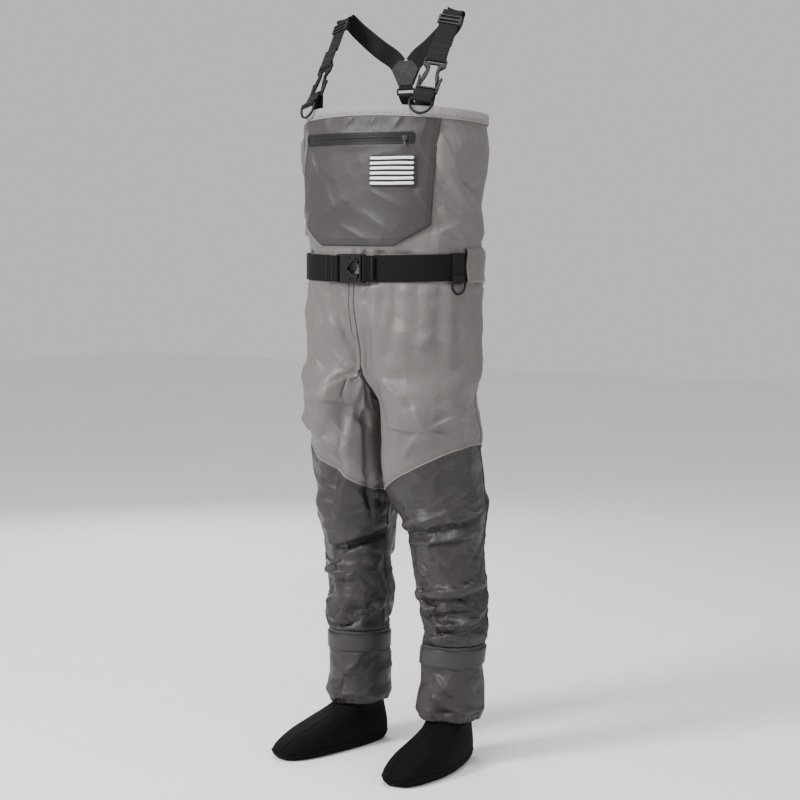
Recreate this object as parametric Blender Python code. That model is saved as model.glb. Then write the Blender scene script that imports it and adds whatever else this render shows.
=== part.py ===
"""Stocking-foot chest waders: bib with a zipped chest pocket, belt, Y-back suspenders with buckles,
two legs with gaiter bands and gravel guards, and neoprene feet.

Metres, +Z up, front faces -Y, the wearer's left is +X."""

import math

import bmesh
import bpy
import numpy as np
from mathutils import Matrix, Vector
from mathutils.geometry import tessellate_polygon

# ---- Driving dimensions ----
GAP = 0.0003  # clearance between pieces that touch
BODY_SHIFT = Vector((-0.0054, 0.0658, 0.0))  # carries the body's centre line to the box centre
WALL = 0.002  # laminated fabric

HEM_FRONT = 1.253  # height of the top edge at the front centre
HEM_DROP = 0.029  # how much lower the top edge is at the back
HEM_BAND = 0.019
WAIST = 0.945  # seam between the bib and the hip panels
TORSO_POWER = 2.3  # superellipse exponent of the torso's sections
TORSO_COLUMNS = 32
# height, half-width, front depth, back depth
TORSO = (
    (1.260, 0.190, 0.136, 0.092),
    (1.180, 0.189, 0.144, 0.078),
    (1.080, 0.186, 0.146, 0.070),
    (1.000, 0.181, 0.144, 0.070),
    (0.953, 0.178, 0.145, 0.074),
    (0.900, 0.182, 0.149, 0.074),
    (0.850, 0.186, 0.152, 0.076),
    (0.760, 0.187, 0.152, 0.086),
)

CROTCH = 0.765  # level where the ring of each leg closes
CROTCH_DIP = 0.045
CHEVRON = 0.570  # mean height of the slanted seam above the knee
CHEVRON_TILT = 0.100
BAND_TOP = 0.227
BAND_HEIGHT = 0.034
GUARD_BOTTOM = 0.088
LEG_END = 0.166  # the leg fabric ends on the neoprene shaft, inside the guard
LEG_COLUMNS = 20
CORNER = 3  # columns from the inner thigh to each corner of the open hip ring
# height, left centre x, y, right centre x, y, half-width, half-depth
LEG = (
    (0.760, 0.088, -0.030, -0.088, -0.030, 0.0870, 0.126),
    (0.700, 0.090, -0.030, -0.088, -0.026, 0.0865, 0.124),
    (0.600, 0.098, -0.026, -0.090, -0.015, 0.0870, 0.109),
    (0.530, 0.110, -0.022, -0.095, -0.009, 0.0850, 0.095),
    (0.460, 0.124, -0.018, -0.100, -0.004, 0.0760, 0.076),
    (0.380, 0.132, -0.013, -0.101, 0.002, 0.0695, 0.070),
    (0.310, 0.136, -0.009, -0.100, 0.004, 0.0665, 0.066),
    (0.240, 0.136, -0.009, -0.100, 0.005, 0.0600, 0.061),
    (0.200, 0.134, -0.013, -0.100, 0.005, 0.0590, 0.060),
    (0.080, 0.132, -0.017, -0.101, 0.004, 0.0590, 0.060),
)

SOCK_WALL = 0.004
SOCK_TOP = LEG_END - GAP
SOCK_COLUMNS = 16
TOE_OUT = {1: 7.0, -1: 14.0}  # degrees, left and right
# height, heel, toe, half-width, all from the ankle's centre
SOCK = (
    (SOCK_TOP, -0.046, 0.046, 0.0450),
    (0.120, -0.048, 0.045, 0.0435),
    (0.100, -0.050, 0.047, 0.0430),
    (0.086, -0.052, 0.051, 0.0430),
    (0.073, -0.056, 0.077, 0.0430),
    (0.059, -0.060, 0.123, 0.0450),
    (0.046, -0.063, 0.168, 0.0485),
    (0.033, -0.065, 0.197, 0.0505),
    (0.018, -0.065, 0.215, 0.0510),
    (0.007, -0.063, 0.213, 0.0495),
    (0.000, -0.056, 0.204, 0.0440),
)

POCKET_TOP_HALF = 0.167
POCKET_SIDE_HALF = 0.151
POCKET_BOTTOM_HALF = 0.084
POCKET_SIDE = 1.031  # height of the slanted corners
POCKET_BOTTOM = 0.994
POCKET_WALL = 0.0014
POCKET_STANDOFF = 0.0028

ZIP_HEIGHT = 1.191
ZIP_HALF = 0.124  # half the length of the surround, along the arc
ZIP_TALL = 0.0220
ZIP_RAIL = 0.0045
SLIDER_AT = 0.106

PATCH_CENTRE = (0.080, 1.131)
PATCH_SIZE = (0.088, 0.060)
PATCH_THICK = 0.004
RIBS = 6
RIB_PITCH = 0.0093
RIB_TALL = 0.0052

BELT_HEIGHT = 0.954
BELT_WIDE = 0.050
BELT_THICK = 0.0022
BELT_STANDOFF = 0.0035
BUCKLE_AT = (-0.001, -0.1555)

STRAP_WIDE = 0.038
STRAP_THICK = 0.0018
STRAP_HALF_SPAN = 0.128
STRAP_FOOT = (-0.111, 1.250)  # y and z where the strap line crosses the hem
STRAP_LEAN = math.radians(30)
STRAP_YAW = math.radians(18)
ALONG_FEMALE = 0.030  # distances along the strap line, from the hem
ALONG_MALE = 0.098
ALONG_STRAP = 0.1322
ALONG_ADJUSTER = 0.189
ALONG_BEND = 0.206
RING_BAR = (0.0190, -0.0165)  # the D-ring's bar from the female half's bar: outward and up
TAB_LENGTH = 0.050
BUCKLE_WIDE = 0.044
BUCKLE_THICK = 0.005
YOKE = (-0.016, 0.046, 1.328)
BACK_STRAP_WIDE = 0.034

GREY = (0.235, 0.218, 0.208)
DARK_GREY = (0.082, 0.073, 0.070)
POCKET_GREY = (0.125, 0.115, 0.110)
HEM_GREY = (0.330, 0.315, 0.300)
BLACK = (0.018, 0.017, 0.018)
NEOPRENE = (0.012, 0.011, 0.012)
WHITE = (0.750, 0.750, 0.740)
SIDES = (("left", 1), ("right", -1))


# ---- Scene and mesh helpers ----
def clear_scene():
    for item in list(bpy.data.objects):
        bpy.data.objects.remove(item)


def material(name, colour, roughness, metallic=0.0):
    made = bpy.data.materials.new(name)
    made.use_nodes = True
    shader = made.node_tree.nodes["Principled BSDF"]
    shader.inputs["Base Color"].default_value = (*colour, 1.0)
    shader.inputs["Roughness"].default_value = roughness
    shader.inputs["Metallic"].default_value = metallic
    return made


def add(name, points, faces, look, pivot=(0.0, 0.0, 0.0), crease=40):
    """One named object from world points, with its origin at the pivot."""
    colour, roughness = look
    origin = Vector(pivot)
    mesh = bpy.data.meshes.new(name)
    mesh.from_pydata([Vector(p) - origin for p in points], [], [list(f) for f in faces])
    shape = bmesh.new()
    shape.from_mesh(mesh)
    bmesh.ops.recalc_face_normals(shape, faces=shape.faces)
    shape.to_mesh(mesh)
    shape.free()
    mesh.materials.append(material(name, colour, roughness))
    mesh.shade_smooth()
    mesh.set_sharp_from_angle(angle=math.radians(crease))
    item = bpy.data.objects.new(name, mesh)
    item.location = origin + BODY_SHIFT
    bpy.context.collection.objects.link(item)
    return item


def union(name, items):
    """Joins overlapping solids into the first one with exact unions."""
    first = items[0]
    for other in items[1:]:
        cut(first, other, "UNION")
    first.name = name
    return first


def cut(item, tool, operation="DIFFERENCE"):
    modifier = item.modifiers.new(operation.lower(), "BOOLEAN")
    modifier.operation = operation
    modifier.solver = "EXACT"
    modifier.object = tool
    bpy.context.view_layer.update()
    graph = bpy.context.evaluated_depsgraph_get()
    result = bpy.data.meshes.new_from_object(item.evaluated_get(graph))
    item.modifiers.clear()
    item.data = result
    result.set_sharp_from_angle(angle=math.radians(40))
    bpy.data.objects.remove(tool)


def vertex_normals(points, faces):
    normals = np.zeros_like(points)
    for face in faces:
        corner = points[list(face)]
        area = np.zeros(3)
        for i in range(1, len(face) - 1):
            area += np.cross(corner[i] - corner[0], corner[i + 1] - corner[0])
        for index in face:
            normals[index] += area
    length = np.linalg.norm(normals, axis=1, keepdims=True)
    return normals / np.maximum(length, 1e-12)


def thicken(points, faces, thickness):
    """Closed solid from an open sheet: the sheet is its outer face."""
    points = np.asarray(points, float)
    count = len(points)
    inner = points - thickness * vertex_normals(points, faces)
    edges = set()
    for face in faces:
        edges.update(zip(face, face[1:] + face[:1]))
    rim = [(b, a, a + count, b + count) for a, b in edges if (b, a) not in edges]
    back = [[i + count for i in reversed(face)] for face in faces]
    return np.vstack((points, inner)), [list(f) for f in faces] + back + sorted(rim)


def grid_faces(rows, columns, closed, flip=False):
    """Quads of a grid of rows; they face outward when columns run anticlockwise and rows run down."""
    faces = []
    for r in range(rows - 1):
        for c in range(columns if closed else columns - 1):
            d = (c + 1) % columns
            face = [r * columns + c, (r + 1) * columns + c, (r + 1) * columns + d, r * columns + d]
            faces.append(face[::-1] if flip else face)
    return faces


def smooth_table(table, at):
    """Row of a table at a first-column value, on a smooth curve through the rows."""
    rows = np.array(sorted(table), float)
    keys = rows[:, 0]
    at = min(max(at, keys[0]), keys[-1])
    i = int(np.clip(np.searchsorted(keys, at) - 1, 0, len(keys) - 2))
    slopes = np.gradient(rows[:, 1:], keys, axis=0)
    width = keys[i + 1] - keys[i]
    t = (at - keys[i]) / width
    a, b = rows[i, 1:], rows[i + 1, 1:]
    h = (2 * t**3 - 3 * t**2 + 1, t**3 - 2 * t**2 + t, -2 * t**3 + 3 * t**2, t**3 - t**2)
    return h[0] * a + h[1] * width * slopes[i] + h[2] * b + h[3] * width * slopes[i + 1]


def ease(t):
    t = min(max(t, 0.0), 1.0)
    return t * t * (3 - 2 * t)


# ---- Flat outlines ----
def rounded(x0, y0, x1, y1, radius, segments=4):
    """Anticlockwise rectangle with rounded corners."""
    points = []
    corners = ((x1, y0, -90), (x1, y1, 0), (x0, y1, 90), (x0, y0, 180))
    for x, y, start in corners:
        cx = x - math.copysign(radius, x - (x0 + x1) / 2)
        cy = y - math.copysign(radius, y - (y0 + y1) / 2)
        for i in range(segments + 1):
            a = math.radians(start + 90 * i / segments)
            points.append((cx + radius * math.cos(a), cy + radius * math.sin(a)))
    return points


def circle(x, y, radius, segments=12):
    turn = 2 * math.pi / segments
    return [(x + radius * math.cos(turn * i), y + radius * math.sin(turn * i)) for i in range(segments)]


def mirrored(points):
    """Outline made of one side's points, bottom to top, and their mirror image across x = 0."""
    return list(points) + [(-x, y) for x, y in reversed(points)]


def inset(outline, distance):
    """Outline moved inwards by a distance, corner by corner."""
    loop = np.array(outline, float)
    before = loop - np.roll(loop, 1, axis=0)
    after = np.roll(loop, -1, axis=0) - loop
    before /= np.linalg.norm(before, axis=1, keepdims=True)
    after /= np.linalg.norm(after, axis=1, keepdims=True)
    normal = np.stack((-(before + after)[:, 1], (before + after)[:, 0]), axis=1)
    size = np.maximum(np.linalg.norm(normal, axis=1, keepdims=True), 1e-9)
    half = np.maximum(size / 2, 0.5)
    return loop + distance * normal / size / half


def plate_mesh(outer, holes, depth, chamfer):
    """Plate of an anticlockwise outline with holes, centred on z = 0, with chamfered rims."""
    loops = [list(outer)] + [list(reversed(h)) for h in holes]
    small = [inset(loop, chamfer) for loop in loops]
    low, high = -depth / 2, depth / 2
    levels = ((low, small), (low + chamfer, loops), (high - chamfer, loops), (high, small))
    count = sum(len(loop) for loop in loops)
    points = [(p[0], p[1], z) for z, group in levels for loop in group for p in loop]
    flat = tessellate_polygon([[Vector((p[0], p[1], 0)) for p in loop] for loop in small])
    faces = []
    for triangle in flat:
        faces.append([i + 3 * count for i in triangle])
        faces.append([i for i in reversed(triangle)])
    first = 0
    for loop in loops:
        n = len(loop)
        for level in range(3):
            base = level * count + first
            for i in range(n):
                j = (i + 1) % n
                faces.append([base + i, base + j, base + j + count, base + i + count])
        first += n
    return points, faces


def frame_of(origin, x_axis, y_axis):
    """Matrix of a right-handed frame from its origin and two axes."""
    x = Vector(x_axis).normalized()
    z = x.cross(Vector(y_axis)).normalized()
    y = z.cross(x)
    matrix = Matrix((x, y, z)).transposed().to_4x4()
    matrix.translation = Vector(origin)
    return matrix


def plate(name, outer, holes, depth, matrix, look, chamfer=0.0005, pivot=(0, 0, 0), bend=None):
    points, faces = plate_mesh(outer, holes, depth, chamfer)
    if bend:
        points = [bend(*p) for p in points]
    return add(name, [matrix @ Vector(p) for p in points], faces, look, pivot)


def block(name, low, high, matrix, look, chamfer=0.0003, pivot=(0, 0, 0)):
    """Chamfered box between two corners of a frame."""
    outline = [(low[0], low[1]), (high[0], low[1]), (high[0], high[1]), (low[0], high[1])]
    middle = Matrix.Translation((0, 0, (low[2] + high[2]) / 2))
    return plate(name, outline, [], high[2] - low[2], matrix @ middle, look, chamfer, pivot)


def sweep(name, path, sides, ups, profile, look, closed=False, pivot=(0, 0, 0), crease=40):
    """Profile (side, up) carried along a path, with a side and an up direction at each point."""
    points = []
    for p, side, up in zip(path, sides, ups):
        for a, b in profile:
            points.append(Vector(p) + Vector(side) * a + Vector(up) * b)
    rows, n = len(path), len(profile)
    faces = []
    for r in range(rows if closed else rows - 1):
        s = (r + 1) % rows
        for c in range(n):
            d = (c + 1) % n
            faces.append([r * n + c, r * n + d, s * n + d, s * n + c])
    if not closed:
        faces.append([c for c in reversed(range(n))])
        faces.append([(rows - 1) * n + c for c in range(n)])
    return add(name, points, faces, look, pivot, crease)


def smooth_path(knots, steps):
    """Points on a smooth curve through the knots, with equal numbers of steps between them."""
    table = [(i, *k) for i, k in enumerate(knots)]
    count = (len(knots) - 1) * steps
    return [smooth_table(table, i / steps) for i in range(count + 1)]


# ---- Torso surface ----
def torso_radius(angle, section, out):
    half, front, back = section
    depth = front if math.cos(angle) > 0 else back
    x = abs(math.sin(angle)) / (half + out)
    y = abs(math.cos(angle)) / (depth + out)
    return (x**TORSO_POWER + y**TORSO_POWER) ** (-1 / TORSO_POWER)


def torso_point(angle, z, out=0.0):
    """Point of the torso at an angle from the front towards the wearer's left."""
    radius = torso_radius(angle, smooth_table(TORSO, z), out)
    return np.array((radius * math.sin(angle), -radius * math.cos(angle), z))


def angle_at(distance, z, out=0.0):
    """Angle of the point that lies a distance round the torso from the front centre."""
    step = math.radians(0.5)
    section = smooth_table(TORSO, z)
    angle, walked, last = 0.0, 0.0, None
    while True:
        radius = torso_radius(angle, section, out)
        here = np.array((radius * math.sin(angle), -radius * math.cos(angle)))
        if last is not None:
            hop = float(np.linalg.norm(here - last))
            if walked + hop >= abs(distance):
                angle -= step * (1 - (abs(distance) - walked) / hop)
                return math.copysign(angle, distance)
            walked += hop
        last = here
        angle += step


def around(distance, z, out=0.0):
    return torso_point(angle_at(distance, z), z, out)


def hem_height(angle):
    return HEM_FRONT - HEM_DROP * (1 - math.cos(angle)) / 2


def torso_patch(name, columns, rows, place, out, thickness, look):
    """Solid over part of the torso: place(u, v) gives the distance round it and the height."""
    points = []
    for r in range(rows + 1):
        for c in range(columns + 1):
            distance, z = place(c / columns, r / rows)
            points.append(around(distance, z, out(c / columns, r / rows)))
    faces = grid_faces(rows + 1, columns + 1, False)
    points, faces = thicken(points, faces, thickness)
    return add(name, points, faces, look)


# ---- Garment ----
def make_bib():
    shares = (0.0, 0.07, 0.25, 0.45, 0.65, 0.85, 1.0)
    points = []
    for share in shares:
        for c in range(TORSO_COLUMNS):
            angle = 2 * math.pi * c / TORSO_COLUMNS
            top = hem_height(angle) - 0.0012
            points.append(torso_point(angle, top + (WAIST - top) * share))
    points, faces = thicken(points, grid_faces(len(shares), TORSO_COLUMNS, True), WALL)
    add("bib_shell", points, faces, (GREY, 0.5))


def make_hem():
    """Folded band over the bib's top edge."""
    outer, inner = 0.0007, -WALL - 0.0007
    profile = (
        (outer, -HEM_BAND),
        (outer + 0.0014, -HEM_BAND),
        (outer + 0.0016, -0.004),
        (-0.0010, 0.0018),
        (inner - 0.0016, -0.004),
        (inner - 0.0012, -HEM_BAND),
        (inner, -HEM_BAND),
        (inner, -0.0008),
        (outer, -0.0008),
    )
    points = []
    for c in range(TORSO_COLUMNS):
        angle = 2 * math.pi * c / TORSO_COLUMNS
        top = hem_height(angle)
        for out, rise in profile:
            point = torso_point(angle, top + rise, out)
            points.append(point)
    n = len(profile)
    faces = []
    for c in range(TORSO_COLUMNS):
        d = (c + 1) % TORSO_COLUMNS
        for i in range(n):
            j = (i + 1) % n
            faces.append([c * n + i, d * n + i, d * n + j, c * n + j])
    add("top_hem", points, faces, (HEM_GREY, 0.55))


def leg_ring(side, level):
    """Points of a leg's ring, from the inner thigh round the front, and each point's height."""
    x_left, y_left, x_right, y_right, half, deep = smooth_table(LEG, level)
    cx, cy = (x_left, y_left) if side > 0 else (-x_right, y_right)
    torso = smooth_table(TORSO, max(level, TORSO[-1][0]))
    closing = ease((CROTCH - level) / 0.075)
    tilt = CHEVRON_TILT * math.cos(math.pi / 2 * min(1.0, abs(level - CHEVRON) / 0.14)) ** 2
    fold = CROTCH_DIP * (1 - ease((CROTCH - level) / 0.15)) if level <= CROTCH else 0.0
    ring = []
    for c in range(LEG_COLUMNS):
        turn = 2 * math.pi * c / LEG_COLUMNS
        x, y = -math.cos(turn), -math.sin(turn)
        round_x = cx + half * math.copysign(abs(x) ** 0.93, x)
        round_y = cy + deep * math.copysign(abs(y) ** 0.93, y)
        if CORNER <= c <= LEG_COLUMNS - CORNER:
            angle = math.pi * (c - CORNER) / (LEG_COLUMNS - 2 * CORNER)
            radius = torso_radius(angle, torso, 0.0)
            open_x, open_y = radius * math.sin(angle) + GAP, -radius * math.cos(angle)
            drop = 0.0
        else:
            share = (c if c < CORNER else c - LEG_COLUMNS) / CORNER
            front, back = -torso[1], torso[2]
            middle = (front + back) / 2
            open_x = GAP
            open_y = middle + share * (front - middle) if share > 0 else middle - share * (back - middle)
            drop = fold * math.cos(math.pi / 2 * share) ** 2
        px = open_x + (round_x - open_x) * closing
        py = open_y + (round_y - open_y) * closing
        pz = level - tilt / 2 * math.cos(turn) - drop
        ring.append((side * max(px, GAP), py, pz))
    return ring


def leg_tube(name, side, levels, look, wall=WALL):
    points = []
    for level in levels:
        points.extend(leg_ring(side, level))
    faces = []
    for r in range(len(levels) - 1):
        for face in grid_faces(2, LEG_COLUMNS, True, side < 0):
            column = min(i % LEG_COLUMNS for i in face)
            wraps = {i % LEG_COLUMNS for i in face} == {0, LEG_COLUMNS - 1}
            inner = wraps or column < CORNER or column >= LEG_COLUMNS - CORNER
            if inner and levels[r] > CROTCH:
                continue
            faces.append([i + r * LEG_COLUMNS for i in face])
    used = sorted({i for face in faces for i in face})
    place = {old: new for new, old in enumerate(used)}
    faces = [[place[i] for i in face] for face in faces]
    points, faces = thicken([points[i] for i in used], faces, wall)
    add(name, points, faces, look)


def make_legs():
    hip = (WAIST - GAP, 0.90, 0.85, 0.80, CROTCH, 0.735, 0.70, 0.66, 0.615, CHEVRON)
    lower = (CHEVRON - GAP * 1.5, 0.525, 0.48, 0.43, 0.38, 0.33, 0.28, 0.235)
    for name, side in SIDES:
        leg_tube(f"{name}_hip_panel", side, hip, (GREY, 0.5))
        leg_tube(f"{name}_lower_leg", side, lower, (DARK_GREY, 0.5))


def cuff_ring(side, z, out):
    """Ring of the leg's section at a height, moved outwards."""
    x_left, y_left, x_right, y_right, half, deep = smooth_table(LEG, z)
    cx, cy = (x_left, y_left) if side > 0 else (x_right, y_right)
    ring = []
    for c in range(LEG_COLUMNS):
        turn = 2 * math.pi * c / LEG_COLUMNS
        ring.append((cx + (half + out) * math.sin(turn), cy - (deep + out) * math.cos(turn), z))
    return ring


def cuff(name, side, stations, wall, look):
    """Tube round the ankle from stations of height and outward offset."""
    points = []
    for z, out in stations:
        points.extend(cuff_ring(side, z, out))
    points, faces = thicken(points, grid_faces(len(stations), LEG_COLUMNS, True), wall)
    add(name, points, faces, look)


def make_cuffs():
    """Band over the joint of leg and guard, the hanging guard, and the leg's end inside it."""
    bottom = BAND_TOP - BAND_HEIGHT
    for name, side in SIDES:
        band = ((BAND_TOP, 0.0036), (bottom, 0.0042))
        cuff(f"{name}_gaiter_band", side, band, 0.0016, (DARK_GREY, 0.5))
        guard = ((0.2340, 0.0010), (0.190, 0.0018), (0.140, 0.0034), (GUARD_BOTTOM, -0.0008))
        cuff(f"{name}_gravel_guard", side, guard, WALL, (DARK_GREY, 0.5))
        elastic = ((GUARD_BOTTOM + 0.014, -0.0018), (GUARD_BOTTOM - 0.003, -0.0034))
        cuff(f"{name}_guard_elastic", side, elastic, 0.0016, (BLACK, 0.7))
        liner = ((0.2350, -0.0018), (0.200, -0.0050), (LEG_END, -0.0125))
        cuff(f"{name}_ankle_liner", side, liner, 0.0020, (DARK_GREY, 0.6))


def sock_ring(side, level):
    heel, toe, half = smooth_table(SOCK, level)
    x_left, y_left, x_right, y_right, _, _ = smooth_table(LEG, 0.10)
    cx, cy = (x_left, y_left) if side > 0 else (x_right, y_right)
    out = math.radians(TOE_OUT[side]) * side
    ring = []
    for c in range(SOCK_COLUMNS):
        turn = 2 * math.pi * c / SOCK_COLUMNS
        length = (toe - heel) / 2
        forward = (toe + heel) / 2 - length * math.cos(turn)
        fullness = 0.80 + 0.20 * ease((forward + 0.06) / 0.18)
        across = half * fullness * math.copysign(abs(math.sin(turn)) ** 0.85, math.sin(turn))
        across -= side * 0.010 * ease((forward - 0.06) / 0.15)
        if toe < 0.07:
            across = half * math.sin(turn)
        x = cx + across * math.cos(out) + forward * math.sin(out)
        y = cy + across * math.sin(out) - forward * math.cos(out)
        ring.append((x, y, level))
    return ring


def make_socks():
    """Neoprene feet, open at the top."""
    levels = [row[0] for row in SOCK]
    for name, side in SIDES:
        points = []
        for level in levels:
            points.extend(sock_ring(side, level))
        faces = grid_faces(len(levels), SOCK_COLUMNS, True, True)
        last = (len(levels) - 1) * SOCK_COLUMNS
        faces.append([last + c for c in range(SOCK_COLUMNS)])
        points, faces = thicken(points, faces, SOCK_WALL)
        add(f"{name}_stocking_foot", points, faces, (NEOPRENE, 0.85))


# ---- Chest pocket ----
def pocket_place(u, v):
    """Hexagonal panel: straight sides, then slanted lower corners."""
    side_share = 4 / 7
    if v <= side_share:
        t = v / side_share
        half = POCKET_TOP_HALF + (POCKET_SIDE_HALF - POCKET_TOP_HALF) * t
        low = POCKET_SIDE
    else:
        t = (v - side_share) / (1 - side_share)
        half = POCKET_SIDE_HALF + (POCKET_BOTTOM_HALF - POCKET_SIDE_HALF) * t
        t = 1.0
        low = POCKET_SIDE + (POCKET_BOTTOM - POCKET_SIDE) * (v - side_share) / (1 - side_share)
    distance = (2 * u - 1) * half
    top = hem_height(angle_at(distance, 1.20)) - HEM_BAND - 0.001
    return distance, top + (low - top) * t


def make_pocket():
    def skin(u, v):
        return POCKET_STANDOFF + POCKET_WALL

    torso_patch("chest_pocket", 14, 7, pocket_place, skin, POCKET_WALL, (POCKET_GREY, 0.5))


def zip_arc():
    """Radius and centre of the circle through the torso's front and the two ends of the zip."""
    front = around(0.0, ZIP_HEIGHT)
    end = around(ZIP_HALF, ZIP_HEIGHT)
    rise = end[1] - front[1]
    radius = (end[0] ** 2 + rise**2) / (2 * rise)
    return radius, front[1] + radius


def make_zip():
    radius, centre = zip_arc()
    skin = POCKET_STANDOFF + POCKET_WALL + 0.0030

    def bend(x, y, z):
        angle = x / radius
        r = radius + skin + z
        return (r * math.sin(angle), centre - r * math.cos(angle), y)

    def strip(name, x0, x1, y0, y1, z0, z1, look, steps=14):
        """Bar that follows the arc, with square ends."""
        path = [x0 + (x1 - x0) * i / steps for i in range(steps + 1)]
        profile = ((y0, z0), (y0, z1), (y1, z1), (y1, z0))
        points = [bend(x, y + ZIP_HEIGHT, z) for x in path for y, z in profile]
        faces = [[3, 2, 1, 0], [steps * 4 + i for i in range(4)]]
        for r in range(steps):
            for c in range(4):
                d = (c + 1) % 4
                faces.append([r * 4 + c, r * 4 + d, r * 4 + 4 + d, r * 4 + 4 + c])
        add(name, points, faces, look)

    steps, round_off = 14, 0.004
    half_tall = ZIP_TALL / 2
    inner_x, inner_y = ZIP_HALF - ZIP_RAIL, half_tall - ZIP_RAIL
    outer, inner = [], []
    for x_sign, y_sign in ((1, -1), (-1, 1)):
        for i in range(steps + 1):
            share = x_sign * (2 * i / steps - 1)
            outer.append((share * (ZIP_HALF - round_off), y_sign * half_tall))
            inner.append((share * inner_x, y_sign * inner_y))
        for i in range(5):
            share = -y_sign * (i + 1) / 3 + y_sign
            turn = math.pi * (i + 1) / 6
            end = ZIP_HALF - round_off + round_off * math.sin(turn)
            outer.append((x_sign * end, y_sign * half_tall * math.cos(turn)))
            inner.append((x_sign * inner_x, inner_y * share))
    thick = 0.0012
    count = len(outer)
    loops = ((outer, 0.0), (outer, thick), (inner, thick), (inner, 0.0))
    points = [bend(x, y + ZIP_HEIGHT, z) for loop, z in loops for x, y in loop]
    faces = []
    for level in range(4):
        for i in range(count):
            k = (i + 1) % count
            above = (level + 1) % 4 * count
            faces.append([level * count + i, level * count + k, above + k, above + i])
    add("zip_surround", points, faces, (BLACK, 0.4))
    reach = inner_x - GAP
    tape_top = inner_y - GAP
    strip("zip_tape_upper", -reach, reach, 0.0016, tape_top, 0.0, 0.0008, (BLACK, 0.35))
    strip("zip_tape_lower", -reach, reach, -tape_top, -0.0016, 0.0, 0.0008, (BLACK, 0.35))
    strip("zip_chain", -reach, reach, -0.0013, 0.0013, 0.0, 0.0012, (BLACK, 0.3))
    make_slider(radius, centre, skin)


def make_slider(radius, centre, skin):
    """Slider body above the chain, its bridge, the pull ring and the pull tab."""
    angle = SLIDER_AT / radius
    outward = Vector((math.sin(angle), -math.cos(angle), 0))
    tangent = Vector((math.cos(angle), math.sin(angle), 0))
    base = Vector((0, centre, ZIP_HEIGHT)) + outward * (radius + skin + 0.0012 + GAP)
    local = frame_of(base, tangent, (0, 0, 1))
    pivot = (0, centre, ZIP_HEIGHT)
    body = plate("zip_slider", rounded(-0.0045, -0.0042, 0.0045, 0.0042, 0.0018, 3), [], 0.0022,
                 local @ Matrix.Translation((0, 0, 0.0011)), (BLACK, 0.25), 0.0004, pivot)
    bridge_outline = [(-0.0040, 0.0), (-0.0028, 0.0), (-0.0022, 0.0028), (0.0, 0.0036), (0.0022, 0.0028),
                      (0.0028, 0.0), (0.0040, 0.0), (0.0034, 0.0036), (0.0, 0.0048), (-0.0034, 0.0036)]
    upright = frame_of(base + outward * 0.0018, (0, 0, 1), outward)
    bridge = plate("bridge", bridge_outline, [], 0.0018, upright, (BLACK, 0.25), 0.0002, pivot)
    union("zip_slider", [body, bridge])
    hinge = base + outward * 0.0034
    hang = frame_of(hinge, tangent, (0, 0, 1))
    ring = [(0.0026 * math.sin(a), -0.0030 - 0.0042 * math.cos(a)) for a in
            (2 * math.pi * i / 16 for i in range(16))]
    hole = [(0.0015 * math.sin(a), -0.0030 - 0.0030 * math.cos(a)) for a in
            (2 * math.pi * i / 16 for i in range(16))]
    ring = [(x, -y - 0.0060) for x, y in ring]
    hole = [(x, -y - 0.0060) for x, y in hole]
    plate("zip_pull_ring", ring[::-1], [hole[::-1]], 0.0010, hang, (BLACK, 0.25), 0.0002, hinge)
    tab = mirrored([(0.0016, -0.0148), (0.0022, -0.0136), (0.0021, -0.0084)])
    tab_hole = circle(0.0, -0.0128, 0.0009, 8)
    tab_place = hang @ Matrix.Translation((0, 0.0007, 0))
    plate("zip_pull_tab", tab, [tab_hole], 0.0012, tab_place, (BLACK, 0.3), 0.0002, hinge)


def make_fly_patch():
    distance, height = PATCH_CENTRE
    wide, tall = PATCH_SIZE
    skin = POCKET_STANDOFF + POCKET_WALL + 0.0009

    def base(u, v):
        edge = min(v, 1 - v) * tall
        pull = 0.005 * (1 - math.sqrt(max(0.0, 1 - (1 - min(1.0, edge / 0.005)) ** 2)))
        x = (2 * u - 1) * (wide / 2 - pull)
        return distance + x, height + tall / 2 - v * tall

    def top(u, v):
        return skin + PATCH_THICK

    torso_patch("fly_patch_base", 6, 6, base, top, PATCH_THICK, (BLACK, 0.6))
    first = height + RIB_PITCH * (RIBS - 1) / 2
    for i in range(RIBS):
        z = first - i * RIB_PITCH

        def rib(u, v, z=z):
            return distance + (2 * u - 1) * (wide / 2 - 0.0035), z + RIB_TALL / 2 - v * RIB_TALL

        def crown(u, v):
            return skin + PATCH_THICK + 0.0006 + 0.0016

        torso_patch(f"fly_patch_rib_{i + 1}", 6, 1, rib, crown, 0.0016, (WHITE, 0.7))


# ---- Belt ----
def belt_point(angle, out, rise):
    """Point of the belt, which hangs a little low and free at the back."""
    slack = ease((abs(angle) - math.radians(120)) / math.radians(25))
    z = BELT_HEIGHT - 0.004 * math.cos(angle) - 0.008 * slack
    return torso_point(angle, z, BELT_STANDOFF + out + 0.004 * slack) + np.array((0, 0, rise))


def make_belt():
    """Static webbing from the female half round the back to the moving end."""
    start = angle_at(0.049, BELT_HEIGHT)
    end = 2 * math.pi - angle_at(0.057, BELT_HEIGHT)
    steps, half = 34, BELT_WIDE / 2
    points = []
    for i in range(steps + 1):
        angle = start + (end - start) * i / steps
        signed = math.remainder(angle, 2 * math.pi)
        for out, rise in ((0, -half), (BELT_THICK, -half), (BELT_THICK, half), (0, half)):
            points.append(belt_point(signed, out, rise))
    faces = [[0, 1, 2, 3], [steps * 4 + i for i in (3, 2, 1, 0)]]
    for r in range(steps):
        for c in range(4):
            d = (c + 1) % 4
            faces.append([r * 4 + c, r * 4 + 4 + c, r * 4 + 4 + d, r * 4 + d])
    add("wading_belt", points, faces, (BLACK, 0.75))


def buckle_frame():
    x, y = BUCKLE_AT
    return frame_of((x, y, BELT_HEIGHT - 0.004), (1, 0, 0), (0, 0, 1))


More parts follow.
